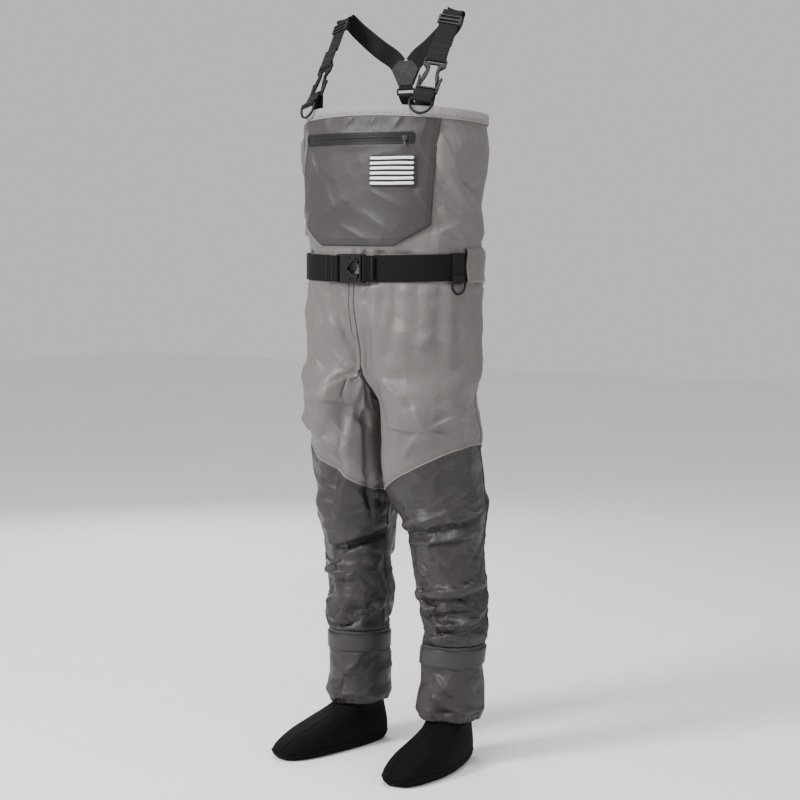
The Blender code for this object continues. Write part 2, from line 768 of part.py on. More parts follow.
def make_belt_buckle():
    local = buckle_frame()
    look = (BLACK, 0.35)
    # Female half: a window and a vertical bar for the webbing.
    body = rounded(-0.001, -0.0275, 0.0335, 0.0275, 0.004, 3)
    slot = rounded(0.0255, -0.0255, 0.0295, 0.0255, 0.001, 1)
    outline = [(0.0, -0.0275)] + body[:8]
    outline += [(0.0, 0.0275), (0.0, 0.0195), (0.0170, 0.0195), (0.0210, 0.0150)]
    outline += [(0.0210, -0.0150), (0.0170, -0.0195), (0.0, -0.0195)]
    plate("belt_buckle_female", outline, [slot], 0.008, local, look, 0.0008)
    # Male half: rounded lobes with a notch between them, and two prongs inside the window.
    lobes = [(-0.0010, -0.0275), (-0.0010, -0.0188), (0.0145, -0.0188), (0.0182, -0.0150),
             (0.0182, -0.0090), (0.0140, -0.0090), (0.0100, -0.0110), (0.0030, -0.0110),
             (-0.0020, -0.0070), (-0.0060, 0.0)]
    right = lobes + [(x, -y) for x, y in reversed(lobes[:-1])]
    left = [(-0.0180, 0.0275), (-0.0300, 0.0268), (-0.0325, 0.0245), (-0.0325, -0.0245),
            (-0.0300, -0.0268), (-0.0180, -0.0275)]
    male_slot = rounded(-0.0285, -0.0255, -0.0245, 0.0255, 0.001, 1)
    plate("belt_buckle_male", right + left, [male_slot], 0.0066, local, look, 0.0008)
    webbing = (BLACK, 0.75)
    x, y, z = local.translation
    male_bar = frame_of((x - 0.0305, y, z), (-1, 0, 0), (0, -1, 0))
    fold("belt_end_loop", male_bar, 0.0033, 0.036, -0.0034, BELT_WIDE - 0.001, webbing)
    female_bar = frame_of((x + 0.0315, y, z), (1, 0, 0), (0, -1, 0))
    fold("belt_fixed_loop", female_bar, 0.0040, 0.020, -0.0034, BELT_WIDE - 0.001, webbing)


def fold(name, bar, half_bar, length, tail, wide, look, wall=0.0014):
    """Webbing folded round a bar. The bar's frame has x along the tail and y outward."""
    slack = 0.0004
    side = 0.0020 + slack
    deep = half_bar + slack
    outline = [
        (-side - wall, -deep * 0.7), (-side, -deep - wall), (side, -deep - wall), (0.0095, tail),
        (length, tail), (length, tail + 2 * wall), (0.0095, tail + 2 * wall), (side, deep + wall),
        (-side, deep + wall), (-side - wall, deep * 0.7),
    ]
    hole = [(-side, -deep), (side, -deep), (0.0070, tail + wall), (side, deep), (-side, deep)]
    plate(name, outline, [hole], wide, bar, look, 0.0002)


def belt_cover(name, side):
    """Self-fabric loop over the belt at the hip."""
    first, last = math.radians(78), math.radians(117)
    half_tall = 0.037
    rows, columns = 8, 6
    points = []
    for r in range(rows + 1):
        z = BELT_HEIGHT + half_tall - 2 * half_tall * r / rows
        out = 0.0026 if r in (0, rows) else BELT_STANDOFF + BELT_THICK + 0.0032
        for c in range(columns + 1):
            angle = first + (last - first) * c / columns
            x, y, _ = torso_point(angle, z, out)
            points.append((side * x, y, z))
    points, faces = thicken(points, grid_faces(rows + 1, columns + 1, False, side < 0), 0.0014)
    add(name, points, faces, (GREY, 0.5))


def make_side_ring():
    """Webbing hanger in front of the belt at the left hip, and the small ring below it."""
    angle = angle_at(0.203, BELT_HEIGHT)
    near = angle_at(0.201, BELT_HEIGHT)
    far = angle_at(0.205, BELT_HEIGHT)
    tangent = Vector(torso_point(far, BELT_HEIGHT) - torso_point(near, BELT_HEIGHT)).normalized()
    outward = Vector((tangent.y, -tangent.x, 0))
    origin = Vector(torso_point(angle, BELT_HEIGHT)) + outward * (BELT_STANDOFF + BELT_THICK + 0.0014)
    wall = 0.0016
    low = -BELT_WIDE / 2 - 0.0030
    outline = [(0, 0.0255), (0, low + 0.0050), (-0.0008, low + 0.0018), (0.0004, low - 0.0022)]
    outline += [(0.0030, low - 0.0034), (0.0056, low - 0.0022), (0.0066, low), (0.0056, low + 0.0024)]
    outline += [(wall + 0.0010, low + 0.0060), (wall, 0.0255)]
    local = frame_of(origin, outward, (0, 0, 1))
    plate("side_ring_loop", outline, [circle(0.0030, low, 0.0022)], 0.026, local, (BLACK, 0.75), 0.0002)
    hinge = local @ Vector((0.0030, low, 0))
    ring("side_ring", hinge, tangent, (0, 0, -1), 0.0150, 0.0230, 0.0018, (BLACK, 0.35))


def ring(name, hinge, axis, down, half, deep, radius, look):
    """D-shaped ring: a straight bar on the hinge axis and a round bow that hangs from it."""
    axis, down = Vector(axis).normalized(), Vector(down).normalized()
    normal = axis.cross(down)
    bow = 12
    flat = [(-half, 0.0), (-half / 3, 0.0), (half / 3, 0.0), (half, 0.0)]
    turns = [math.pi * i / bow for i in range(1, bow)]
    flat += [(half * math.cos(turn), deep * math.sin(turn) ** 0.8) for turn in turns]
    n = len(flat)
    path, sides = [], []
    for i, (x, y) in enumerate(flat):
        before, after = flat[i - 1], flat[(i + 1) % n]
        along = Vector((after[0] - before[0], after[1] - before[1])).normalized()
        path.append(Vector(hinge) + axis * x + down * y)
        sides.append(axis * along.y - down * along.x)
    profile = circle(0, 0, radius, 6)
    return sweep(name, path, sides, [normal] * n, profile, look, True, hinge, 80)


# ---- Suspenders ----
def strap_axes(side):
    """Directions of the straight front run: across, along, outward."""
    direction = Vector((0, math.sin(STRAP_LEAN), math.cos(STRAP_LEAN)))
    outward = Vector((side * math.sin(STRAP_YAW), -math.cos(STRAP_YAW), 0))
    outward = (outward - outward.dot(direction) * direction).normalized()
    return direction.cross(outward), direction, outward


def strap_point(side, along, out=0.0):
    _, direction, outward = strap_axes(side)
    y, z = STRAP_FOOT
    return Vector((side * STRAP_HALF_SPAN, y, z)) + direction * along + outward * out


def make_hem_hardware(name, side):
    """Webbing tab sewn inside the hem, its D-ring and the female buckle half."""
    webbing, plastic = (BLACK, 0.75), (BLACK, 0.35)
    across, direction, outward = strap_axes(side)
    out = Vector((side * math.sin(STRAP_YAW), -math.cos(STRAP_YAW), 0))
    out = (out - out.dot(across) * across).normalized()
    upward = Vector((0, 0, 1))
    local = frame_of(strap_point(side, ALONG_FEMALE), out, upward - upward.dot(across) * across)
    dx, dz = RING_BAR
    over, under = 0.0049, 0.0040
    outline = [(-0.0021, -TAB_LENGTH), (-0.0007, -TAB_LENGTH), (-0.0007, -0.0240), (0.0020, -0.0222)]
    outline += [(0.0150, -0.0214), (dx, dz - under), (dx + 0.0028, dz - 0.0028), (dx + under, dz)]
    outline += [(dx + 0.0032, dz + 0.0025), (over * 0.77, over * 0.64), (0, over)]
    outline += [(-over * 0.77, over * 0.64), (-over, 0), (-0.0036, -0.0060), (-0.0021, -0.0150)]
    holes = [circle(0, 0, 0.0036), circle(dx, dz, 0.0024)]
    plate(f"{name}_hem_tab", outline, holes, STRAP_WIDE - 0.001, local, webbing, 0.0002)
    hinge = local @ Vector((dx, dz, 0))
    tilt = math.radians(18)
    down = local.to_3x3() @ Vector((math.sin(tilt), -math.cos(tilt), 0))
    ring(f"{name}_d_ring", hinge, across, down, 0.0218, 0.0255, 0.0019, plastic)
    face = frame_of(strap_point(side, ALONG_FEMALE), across, direction)
    half = BUCKLE_WIDE / 2
    right = [(half - 0.0015, -0.0022), (half, -0.0005), (half, 0.0240), (half + 0.0015, 0.0280)]
    right += [(half + 0.0006, 0.0322), (half - 0.0018, 0.0330), (half - 0.0028, 0.0290)]
    right += [(0.0176, 0.0270), (0.0169, 0.0120), (0.0150, 0.0100)]
    slot = rounded(-0.0193, 0.0020, 0.0193, 0.0062, 0.0010, 1)
    plate(f"{name}_buckle_female", mirrored(right), [slot], BUCKLE_THICK, face, plastic, 0.0007)


def make_male(name, side):
    """Male buckle half with its two curved arms, and the webbing end folded round its bar."""
    webbing, plastic = (BLACK, 0.75), (BLACK, 0.35)
    across, direction, outward = strap_axes(side)
    face = frame_of(strap_point(side, ALONG_FEMALE), across, direction)
    arm = [(0.0142, 0.0112), (0.0158, 0.0112), (0.0163, 0.0135), (0.0163, 0.0335), (0.0146, 0.0370)]
    arm += [(0.0130, 0.0405), (0.0128, 0.0440), (0.0145, 0.0480), (0.0190, 0.0520), (0.0218, 0.0550)]
    arm += [(0.0220, 0.0590), (0.0220, 0.0688), (0.0208, 0.0702)]
    inner = [(0.0090, 0.0578), (0.0072, 0.0540), (0.0068, 0.0440), (0.0080, 0.0340), (0.0115, 0.0210)]
    outline = mirrored(arm) + [(-x, y) for x, y in reversed(inner)] + inner
    slot = rounded(-0.0193, 0.0618, 0.0193, 0.0660, 0.0010, 1)
    plate(f"{name}_buckle_male", outline, [slot], BUCKLE_THICK, face, plastic, 0.0007)
    bar = frame_of(strap_point(side, ALONG_MALE), direction, outward)
    fold(f"{name}_strap_end_loop", bar, BUCKLE_THICK / 2, 0.039, 0.0002, STRAP_WIDE - 0.001, webbing)


def make_shoulder_strap(name, side):
    """Webbing from above the buckle over the shoulder to the yoke."""
    _, _, outward = strap_axes(side)
    low = strap_point(side, ALONG_STRAP, -0.0015)
    high = strap_point(side, ALONG_BEND, -0.0015)
    yoke_x, yoke_y, yoke_z = YOKE
    knots = [low, low.lerp(high, 0.5), low.lerp(high, 0.93), high]
    knots += [(side * 0.128, -0.0005, 1.4310), (side * 0.126, 0.0085, 1.4305)]
    knots.append((side * 0.108, 0.0200, 1.4080))
    over_yoke = Vector((yoke_x + side * 0.016, yoke_y, yoke_z + 0.012))
    knots.append(Vector(knots[-1]).lerp(over_yoke, 0.5))
    knots.append((yoke_x + side * 0.0300, yoke_y, yoke_z + 0.0265))
    knots.append((yoke_x + side * 0.0150, yoke_y, yoke_z + 0.0120))
    back = (0, 1, 0)
    guides = [outward] * 4 + [(side * 0.1, -0.2, 1), (side * 0.3, 0.55, 0.85), (side * 0.20, 0.9, 0.45)]
    guides += [back] * 3
    path = [Vector(p) for p in smooth_path(knots, 3)]
    normals = [Vector(g).normalized() for g in smooth_path([Vector(g).normalized() for g in guides], 3)]
    sides, ups = [], []
    for i in range(len(path)):
        tangent = (path[min(i + 1, len(path) - 1)] - path[max(i - 1, 0)]).normalized()
        across = tangent.cross(normals[i]).normalized()
        sides.append(across)
        ups.append(across.cross(tangent))
    w, t = STRAP_WIDE / 2, STRAP_THICK / 2
    sweep(f"{name}_shoulder_strap", path, sides, ups, [(-w, -t), (w, -t), (w, t), (-w, t)], (BLACK, 0.75))


def make_adjuster(name, side):
    """Slide adjuster: a sleeve round the strap with two windows in its front."""
    across, direction, _ = strap_axes(side)
    local = frame_of(strap_point(side, ALONG_ADJUSTER, -0.0015), across, direction)
    look = (BLACK, 0.35)
    half, tall, deep = 0.0225, 0.0095, 0.0034
    body = block(f"{name}_adjuster", (-half, -tall, -deep), (half, tall, deep), local, look, 0.0007)
    inner = STRAP_WIDE / 2 + 0.0006
    cut(body, block("cutter", (-inner, -0.02, -0.0015), (inner, 0.02, 0.0015), local, look, 0.0001))
    for low in (-0.0065, 0.0018):
        window = (inner - 0.001, low + 0.0047, 0.006)
        cut(body, block("cutter", (-window[0], low, 0.0), window, local, look, 0.0001))


def make_back():
    """Yoke patches, the rectangular ring and the strap down to the back hem."""
    x, y, z = YOKE
    webbing = (BLACK, 0.75)
    half_shape = [(0.0165, -0.0260), (0.0185, -0.0210), (0.0310, 0.0030), (0.0300, 0.0070)]
    half_shape.append((0.0160, 0.0215))
    shape = mirrored(half_shape)
    for name, offset in (("yoke_front", -0.0027), ("yoke_back", 0.0027)):
        face = frame_of((x, y + offset, z), (1, 0, 0), (0, 0, 1))
        plate(name, shape, [], 0.0016, face, (DARK_GREY, 0.6), 0.0002)
    ring_z = z - 0.0385
    face = frame_of((x, y, ring_z), (1, 0, 0), (0, 0, 1))
    half = BACK_STRAP_WIDE / 2
    outer = rounded(-half - 0.004, -0.0068, half + 0.004, 0.0068, 0.002, 2)
    inner = rounded(-half - 0.0008, -0.0040, half + 0.0008, 0.0040, 0.001, 1)
    plate("yoke_ring", outer, [inner], 0.0028, face, (BLACK, 0.35), 0.0004)
    upper = frame_of((x, y, ring_z + 0.0054), (0, 0, 1), (0, -1, 0))
    ring_fold("yoke_tab", upper, 0.0190, BACK_STRAP_WIDE - 0.003, webbing)
    strap_low(x, y, ring_z - 0.0054, webbing)


def ring_fold(name, bar, length, wide, look):
    """Thin webbing folded round the rectangular ring's bar, tail along x."""
    side, deep, wall = 0.0018, 0.0018, 0.0009
    outline = [(-side - wall, -deep * 0.7), (-side, -deep - wall), (side, -deep - wall), (0.0070, -wall)]
    outline += [(length, -wall), (length, wall), (0.0070, wall), (side, deep + wall)]
    outline += [(-side, deep + wall), (-side - wall, deep * 0.7)]
    hole = [(-side, -deep), (side, -deep), (0.0045, 0.0), (side, deep), (-side, deep)]
    plate(name, outline, [hole], wide, bar, look, 0.0002)


def strap_low(x, y, z, look):
    """Back strap: folded round the ring, down and out over the hem, and sewn to the back of the bib."""
    wall = 0.0009
    line = [(y, z - 0.0065), (y + 0.009, z - 0.016), (0.083, 1.2480), (0.0945, 1.2350)]
    line += [(0.0985, 1.2240), (0.0975, 1.2100), (0.0925, 1.1900), (0.0840, 1.1650)]
    path = [Vector((x, a, b)) for a, b in line]
    front, back = [], []
    for i, p in enumerate(path):
        tangent = (path[min(i + 1, len(path) - 1)] - path[max(i - 1, 0)]).normalized()
        normal = Vector((0, tangent.z, -tangent.y))
        front.append((p.y + normal.y * wall, p.z + normal.z * wall))
        back.append((p.y - normal.y * wall, p.z - normal.z * wall))
    side, deep = 0.0018, 0.0018
    start = [(y + deep + wall, z - side), (y + deep + wall, z + side), (y + deep * 0.7, z + side + wall)]
    start += [(y - deep * 0.7, z + side + wall), (y - deep - wall, z + side), (y - deep - wall, z - side)]
    outline = start + front + back[::-1]
    hole = [(y - deep, z - side), (y, z - 0.0045), (y + deep, z - side)]
    hole += [(y + deep, z + side), (y - deep, z + side)]
    frame = frame_of((x, 0, 0), (0, 1, 0), (0, 0, 1))
    if area_of(outline) < 0:
        outline.reverse()
    plate("back_strap", outline, [hole], BACK_STRAP_WIDE - 0.003, frame, look, 0.0001)


def area_of(loop):
    return sum(a[0] * b[1] - b[0] * a[1] for a, b in zip(loop, loop[1:] + loop[:1])) / 2


clear_scene()
make_bib()
make_hem()
make_legs()
make_cuffs()
make_socks()
make_pocket()
make_zip()
make_fly_patch()
make_belt()
make_belt_buckle()
belt_cover("left_belt_loop", 1)
belt_cover("right_belt_loop", -1)
make_side_ring()
for side_name, side_sign in SIDES:
    make_hem_hardware(side_name, side_sign)
    make_male(side_name, side_sign)
    make_shoulder_strap(side_name, side_sign)
    make_adjuster(side_name, side_sign)
make_back()
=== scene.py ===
"""Stocking-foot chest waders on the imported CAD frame: draped coated fabric, webbing, buckles and neoprene.

Metres, +Z up; the bib faces -Y and the wearer's left is +X. Shapes are worked out round the body's centre line,
and piece() moves them by SHIFT to the frame's origin.
"""

import math

import bpy
import numpy as np
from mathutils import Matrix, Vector
from mathutils.geometry import delaunay_2d_cdt


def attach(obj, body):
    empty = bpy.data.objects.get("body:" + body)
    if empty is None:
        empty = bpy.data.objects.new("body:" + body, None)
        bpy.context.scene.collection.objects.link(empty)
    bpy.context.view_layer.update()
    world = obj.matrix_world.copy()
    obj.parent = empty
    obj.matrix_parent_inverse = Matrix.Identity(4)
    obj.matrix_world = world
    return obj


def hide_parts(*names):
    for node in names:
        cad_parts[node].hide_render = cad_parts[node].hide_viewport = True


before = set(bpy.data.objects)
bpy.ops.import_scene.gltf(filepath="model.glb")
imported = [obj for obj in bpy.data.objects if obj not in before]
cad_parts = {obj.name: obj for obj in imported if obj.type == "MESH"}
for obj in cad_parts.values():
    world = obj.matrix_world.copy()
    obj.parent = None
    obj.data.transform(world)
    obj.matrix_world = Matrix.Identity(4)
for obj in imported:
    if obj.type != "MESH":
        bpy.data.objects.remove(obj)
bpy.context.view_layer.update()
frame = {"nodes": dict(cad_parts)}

# ---- Dimensions, as in the CAD ----
GAP = 0.0003
SHIFT = np.array((-0.0054, 0.0658, 0.0))
HEM_FRONT, HEM_DROP, HEM_BAND, WAIST = 1.253, 0.029, 0.019, 0.945
TORSO_POWER = 2.3
# height, half width, depth to the front, depth to the back
TORSO = (
    (1.260, 0.190, 0.136, 0.092),
    (1.180, 0.189, 0.144, 0.078),
    (1.080, 0.186, 0.146, 0.070),
    (1.000, 0.181, 0.144, 0.070),
    (0.953, 0.178, 0.145, 0.074),
    (0.900, 0.182, 0.149, 0.074),
    (0.850, 0.186, 0.152, 0.076),
    (0.760, 0.187, 0.152, 0.086),
)
CROTCH, CROTCH_DIP, CHEVRON, CHEVRON_TILT = 0.765, 0.045, 0.570, 0.100
BAND_TOP, BAND_HEIGHT, GUARD_BOTTOM, LEG_END = 0.227, 0.034, 0.088, 0.166
# height, centre of the left leg, centre of the right leg, half width, half depth
LEG = (
    (0.760, 0.088, -0.030, -0.088, -0.030, 0.0870, 0.126),
    (0.700, 0.090, -0.030, -0.088, -0.026, 0.0865, 0.124),
    (0.600, 0.098, -0.026, -0.090, -0.015, 0.0870, 0.109),
    (0.530, 0.110, -0.022, -0.095, -0.009, 0.0850, 0.095),
    (0.460, 0.124, -0.018, -0.100, -0.004, 0.0760, 0.076),
    (0.380, 0.132, -0.013, -0.101, 0.002, 0.0695, 0.070),
    (0.310, 0.136, -0.009, -0.100, 0.004, 0.0665, 0.066),
    (0.240, 0.136, -0.009, -0.100, 0.005, 0.0600, 0.061),
    (0.200, 0.134, -0.013, -0.100, 0.005, 0.0590, 0.060),
    (0.080, 0.132, -0.017, -0.101, 0.004, 0.0590, 0.060),
)
# height, heel, toe, half width
SOCK = (
    (0.1657, -0.046, 0.046, 0.0450),
    (0.120, -0.048, 0.045, 0.0435),
    (0.100, -0.050, 0.047, 0.0430),
    (0.086, -0.052, 0.051, 0.0430),
    (0.073, -0.056, 0.077, 0.0430),
    (0.059, -0.060, 0.123, 0.0450),
    (0.046, -0.063, 0.168, 0.0485),
    (0.033, -0.065, 0.197, 0.0505),
    (0.018, -0.065, 0.215, 0.0510),
    (0.007, -0.063, 0.213, 0.0495),
    (0.000, -0.056, 0.204, 0.0440),
)
TOE_OUT = {1: 7.0, -1: 14.0}
POCKET_TOP_HALF, POCKET_SIDE_HALF, POCKET_BOTTOM_HALF = 0.167, 0.151, 0.084
POCKET_SIDE, POCKET_BOTTOM, POCKET_WALL, POCKET_STANDOFF = 1.031, 0.994, 0.0014, 0.0028
ZIP_HEIGHT, ZIP_HALF, ZIP_TALL = 1.191, 0.124, 0.0220
PATCH_CENTRE, PATCH_SIZE, PATCH_THICK = (0.080, 1.131), (0.088, 0.060), 0.004
RIBS, RIB_PITCH, RIB_TALL = 6, 0.0093, 0.0052
BELT_HEIGHT, BELT_WIDE, BELT_THICK, BELT_STANDOFF = 0.954, 0.050, 0.0022, 0.0035
BUCKLE_AT = (-0.001, -0.1555)
STRAP_WIDE, STRAP_THICK, STRAP_HALF_SPAN, STRAP_FOOT = 0.038, 0.0018, 0.128, (-0.111, 1.250)
STRAP_LEAN, STRAP_YAW = math.radians(30), math.radians(18)
ALONG_FEMALE, ALONG_MALE, ALONG_STRAP, ALONG_BEND = 0.030, 0.098, 0.1322, 0.206
RING_BAR, TAB_LENGTH, BUCKLE_THICK = (0.0190, -0.0165), 0.050, 0.005
YOKE, BACK_STRAP_WIDE = (-0.016, 0.046, 1.328), 0.034
SIDES = (("left", 1), ("right", -1))

# ---- Mesh density ----
TORSO_COLUMNS, TORSO_ROWS = 150, 46
LEG_COLUMNS, LEG_ROWS = 88, 96
CORNER = 13  # columns from the inner thigh to the edge of the open hip ring
VALLEY_DEPTH, VALLEY_COLUMNS = 0.026, 6.0  # how far the front seam sinks between the thighs, and its reach
FINE = 3  # rows and columns made of each one after draping, to carry crisp creases

# ---- Cloth ----
WALL = 0.0012  # drawn thickness of the shell fabric
HEM_CLEAR = 0.0012  # the bib's cloth ends this far under the hem's edge
LEG_RADIUS, FRONT_TURN = 0.082, 125  # unrolled leg: its radius, and the turn in degrees that faces the camera
LEG_GIRTH = 2 * math.pi * LEG_RADIUS
CUFF_RADIUS = 0.060
WAIST_RADIUS = 0.155  # unrolled hem
RIDGE_LIMIT = 0.75  # steepest lean of a pressed fold
SLIDE_LIMIT = 0.010  # how far draped cloth may slide along its surface


# ---- Curves and sections ----
def smooth_table(table, at):
    rows = np.array(sorted(table), float)
    keys = rows[:, 0]
    at = min(max(at, keys[0]), keys[-1])
    i = int(np.clip(np.searchsorted(keys, at) - 1, 0, len(keys) - 2))
    slopes = np.gradient(rows[:, 1:], keys, axis=0)
    width = keys[i + 1] - keys[i]
    t = (at - keys[i]) / width
    a, b = rows[i, 1:], rows[i + 1, 1:]
    h = (2 * t**3 - 3 * t**2 + 1, t**3 - 2 * t**2 + t, -2 * t**3 + 3 * t**2, t**3 - t**2)
    return h[0] * a + h[1] * width * slopes[i] + h[2] * b + h[3] * width * slopes[i + 1]


def smooth_path(knots, steps):
    table = [(i, *k) for i, k in enumerate(knots)]
    return np.array([smooth_table(table, i / steps) for i in range((len(knots) - 1) * steps + 1)])


def ease(t):
    t = np.clip(t, 0.0, 1.0)
    return t * t * (3 - 2 * t)


def torso_radius(angle, section, out=0.0):
    half, front, back = section
    depth = np.where(np.cos(angle) > 0, front, back)
    x = np.abs(np.sin(angle)) / (half + out)
    y = np.abs(np.cos(angle)) / (depth + out)
    return (x**TORSO_POWER + y**TORSO_POWER) ** (-1 / TORSO_POWER)


def torso_point(angle, z, out=0.0):
    radius = float(torso_radius(angle, smooth_table(TORSO, z), out))
    return np.array((radius * math.sin(angle), -radius * math.cos(angle), z))


ARCS = {}


def arc_of(z):
    """Angles and distances round the torso from the front centre, at a height."""
    key = round(z, 3)
    if key not in ARCS:
        angles = np.linspace(0, math.pi, 361)
        radius = torso_radius(angles, smooth_table(TORSO, key))
        points = np.stack((radius * np.sin(angles), -radius * np.cos(angles)), axis=1)
        steps = np.linalg.norm(np.diff(points, axis=0), axis=1)
        ARCS[key] = angles, np.concatenate(([0.0], np.cumsum(steps)))
    return ARCS[key]


def angle_at(distance, z):
    angles, walked = arc_of(z)
    return math.copysign(float(np.interp(abs(distance), walked, angles)), distance)


def around(distance, z, out=0.0):
    return torso_point(angle_at(distance, z), z, out)


def hem_height(angle):
    return HEM_FRONT - HEM_DROP * (1 - np.cos(angle)) / 2


def leg_ring(side, level):
    """Points of a leg's ring, from the inner thigh round the front."""
    x_left, y_left, x_right, y_right, half, deep = smooth_table(LEG, level)
    cx, cy = (x_left, y_left) if side > 0 else (-x_right, y_right)
    torso = smooth_table(TORSO, max(level, TORSO[-1][0]))
    closing = float(ease((CROTCH - level) / 0.075))
    tilt = CHEVRON_TILT * math.cos(math.pi / 2 * min(1.0, abs(level - CHEVRON) / 0.14)) ** 2
    fold = CROTCH_DIP * (1 - float(ease((CROTCH - level) / 0.15))) if level <= CROTCH else 0.0
    ring = []
    for c in range(LEG_COLUMNS):
        turn = 2 * math.pi * c / LEG_COLUMNS
        x, y = -math.cos(turn), -math.sin(turn)
        round_x = cx + half * math.copysign(abs(x) ** 0.93, x)
        round_y = cy + deep * math.copysign(abs(y) ** 0.93, y)
        drop = 0.0
        if CORNER <= c <= LEG_COLUMNS - CORNER:
            angle = math.pi * (c - CORNER) / (LEG_COLUMNS - 2 * CORNER)
            radius = float(torso_radius(angle, torso))
            open_x, open_y = radius * math.sin(angle) + GAP, -radius * math.cos(angle)
        else:
            share = (c if c < CORNER else c - LEG_COLUMNS) / CORNER
            front, back = -torso[1], torso[2]
            middle = (front + back) / 2
            open_x = GAP
            open_y = middle + share * (front - middle) if share > 0 else middle - share * (back - middle)
            drop = fold * math.cos(math.pi / 2 * share) ** 2
        px = open_x + (round_x - open_x) * closing
        py = open_y + (round_y - open_y) * closing
        ring.append((side * max(px, GAP), py, level - tilt / 2 * math.cos(turn) - drop))
    return ring


def cuff_ring(side, z, out, columns=LEG_COLUMNS):
    x_left, y_left, x_right, y_right, half, deep = smooth_table(LEG, z)
    cx, cy = (x_left, y_left) if side > 0 else (x_right, y_right)
    turn = 2 * np.pi * np.arange(columns) / columns
    out = np.broadcast_to(out, turn.shape)
    x, y = cx + (half + out) * np.sin(turn), cy - (deep + out) * np.cos(turn)
    return np.stack((x, y, np.full(columns, z)), axis=1)


def sock_ring(side, level, columns=64):
    heel, toe, half = smooth_table(SOCK, level)
    x_left, y_left, x_right, y_right, _, _ = smooth_table(LEG, 0.10)
    cx, cy = (x_left, y_left) if side > 0 else (x_right, y_right)
    out = math.radians(TOE_OUT[side]) * side
    ring = []
    for c in range(columns):
        turn = 2 * math.pi * c / columns
        ahead = math.copysign(abs(math.cos(turn)) ** 0.84, math.cos(turn))
        forward = (toe + heel) / 2 - (toe - heel) / 2 * ahead
        fullness = 0.80 + 0.20 * float(ease((forward + 0.06) / 0.18))
        across = half * fullness * math.copysign(abs(math.sin(turn)) ** 0.68, math.sin(turn))
        across -= side * 0.010 * float(ease((forward - 0.06) / 0.15))
        shaft = float(ease((0.077 - toe) / 0.02))
        across = across * (1 - shaft) + half * math.sin(turn) * shaft
        x = cx + across * math.cos(out) + forward * math.sin(out)
        y = cy + across * math.sin(out) - forward * math.cos(out)
        ring.append((x, y, level))
    return ring


# ---- Folds ----
def stroke(x, z, start, end, width, height, lean=0.0):
    """Ridge or valley between two points of an unrolled panel, sharper on one side by its lean."""
    a, b = np.array(start), np.array(end)
    span = b - a
    length = np.linalg.norm(span)
    t = ((x - a[0]) * span[0] + (z - a[1]) * span[1]) / length**2
    s = ((x - a[0]) * -span[1] + (z - a[1]) * span[0]) / length
    along = np.clip(t, 0, 1)
    beyond = np.maximum(0, np.abs(t - 0.5) - 0.5) * length
    taper = np.sin(np.pi * np.clip(0.06 + 0.88 * along, 0, 1)) ** 0.7
    side = np.where(s > 0, 1 + lean, 1 - lean)
    across = np.sqrt((s * side) ** 2 + beyond**2) / (width * (0.45 + 0.55 * taper))
    return height * taper * np.exp(-np.sqrt(across**2 + 0.02) * 1.6) * 1.25


def wave_noise(x, z, scale, seed):
    """Smooth seeded noise on an unrolled panel, from crossing waves."""
    rng = np.random.default_rng(seed)
    total = np.zeros_like(x)
    for _ in range(9):
        heading = rng.uniform(0, np.pi)
        rate = 2 * np.pi / (scale * rng.uniform(0.7, 1.6))
        total += np.sin((x * np.cos(heading) + z * np.sin(heading)) * rate + rng.uniform(0, 2 * np.pi))
    return total / 9


# ---- Mesh helpers ----
def grid_faces(rows, columns, closed, flip=False):
    faces = []
    for r in range(rows - 1):
        for c in range(columns if closed else columns - 1):
            d = (c + 1) % columns
            face = [r * columns + c, (r + 1) * columns + c, (r + 1) * columns + d, r * columns + d]
            faces.append(face[::-1] if flip else face)
    return faces


def sweep_faces(rings, sides, closed=False):
    """Quads between successive rings of a tube, with both ends capped unless it closes on itself."""
    faces = []
    for r in range(rings if closed else rings - 1):
        s = (r + 1) % rings
        for c in range(sides):
            d = (c + 1) % sides
            faces.append([r * sides + c, r * sides + d, s * sides + d, s * sides + c])
    if not closed:
        faces.append(list(range(sides))[::-1])
        faces.append([(rings - 1) * sides + c for c in range(sides)])
    return faces


def subset(faces):
    """Indices of the points that faces use, and the faces on those points alone."""
    keep = sorted({i for f in faces for i in f})
    place = {old: new for new, old in enumerate(keep)}
    return keep, [[place[i] for i in f] for f in faces]


def unit(vectors):
    """Vectors along the last axis, each made one long."""
    return vectors / np.linalg.norm(vectors, axis=-1, keepdims=True)


def walk(path):
    """Distance walked along a path at each of its points."""
    steps = np.linalg.norm(np.diff(path, axis=0), axis=1)
    return np.concatenate(([0.0], np.cumsum(steps)))


def vertex_normals(points, faces):
    corners = points[np.array(faces)]
    area = np.cross(corners[:, 2] - corners[:, 0], corners[:, 3] - corners[:, 1])
    normals = np.zeros_like(points)
    for i in range(4):
        np.add.at(normals, np.array(faces)[:, i], area)
    return normals / np.maximum(np.linalg.norm(normals, axis=1, keepdims=True), 1e-12)


def piece(name, points, faces, look, body="garment", nodes=(), uvs=None, crease=50):
    """Object from points round the body's centre line, with its material, riding on a body."""
    mesh = bpy.data.meshes.new(name)
    mesh.from_pydata((np.asarray(points, float) + SHIFT).tolist(), [], [list(map(int, f)) for f in faces])
    if uvs is not None:
        layer = mesh.uv_layers.new(name="cloth")
        index = np.zeros(len(mesh.loops), np.int64)
        mesh.loops.foreach_get("vertex_index", index)
        layer.data.foreach_set("uv", np.asarray(uvs, float)[index].ravel())
    mesh.materials.append(look)
    mesh.shade_smooth()
    if crease < 180:
        mesh.set_sharp_from_angle(angle=math.radians(crease))
    item = bpy.data.objects.new(name, mesh)
    bpy.context.scene.collection.objects.link(item)
    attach(item, body)
    if nodes:
        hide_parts(*nodes)
    return item


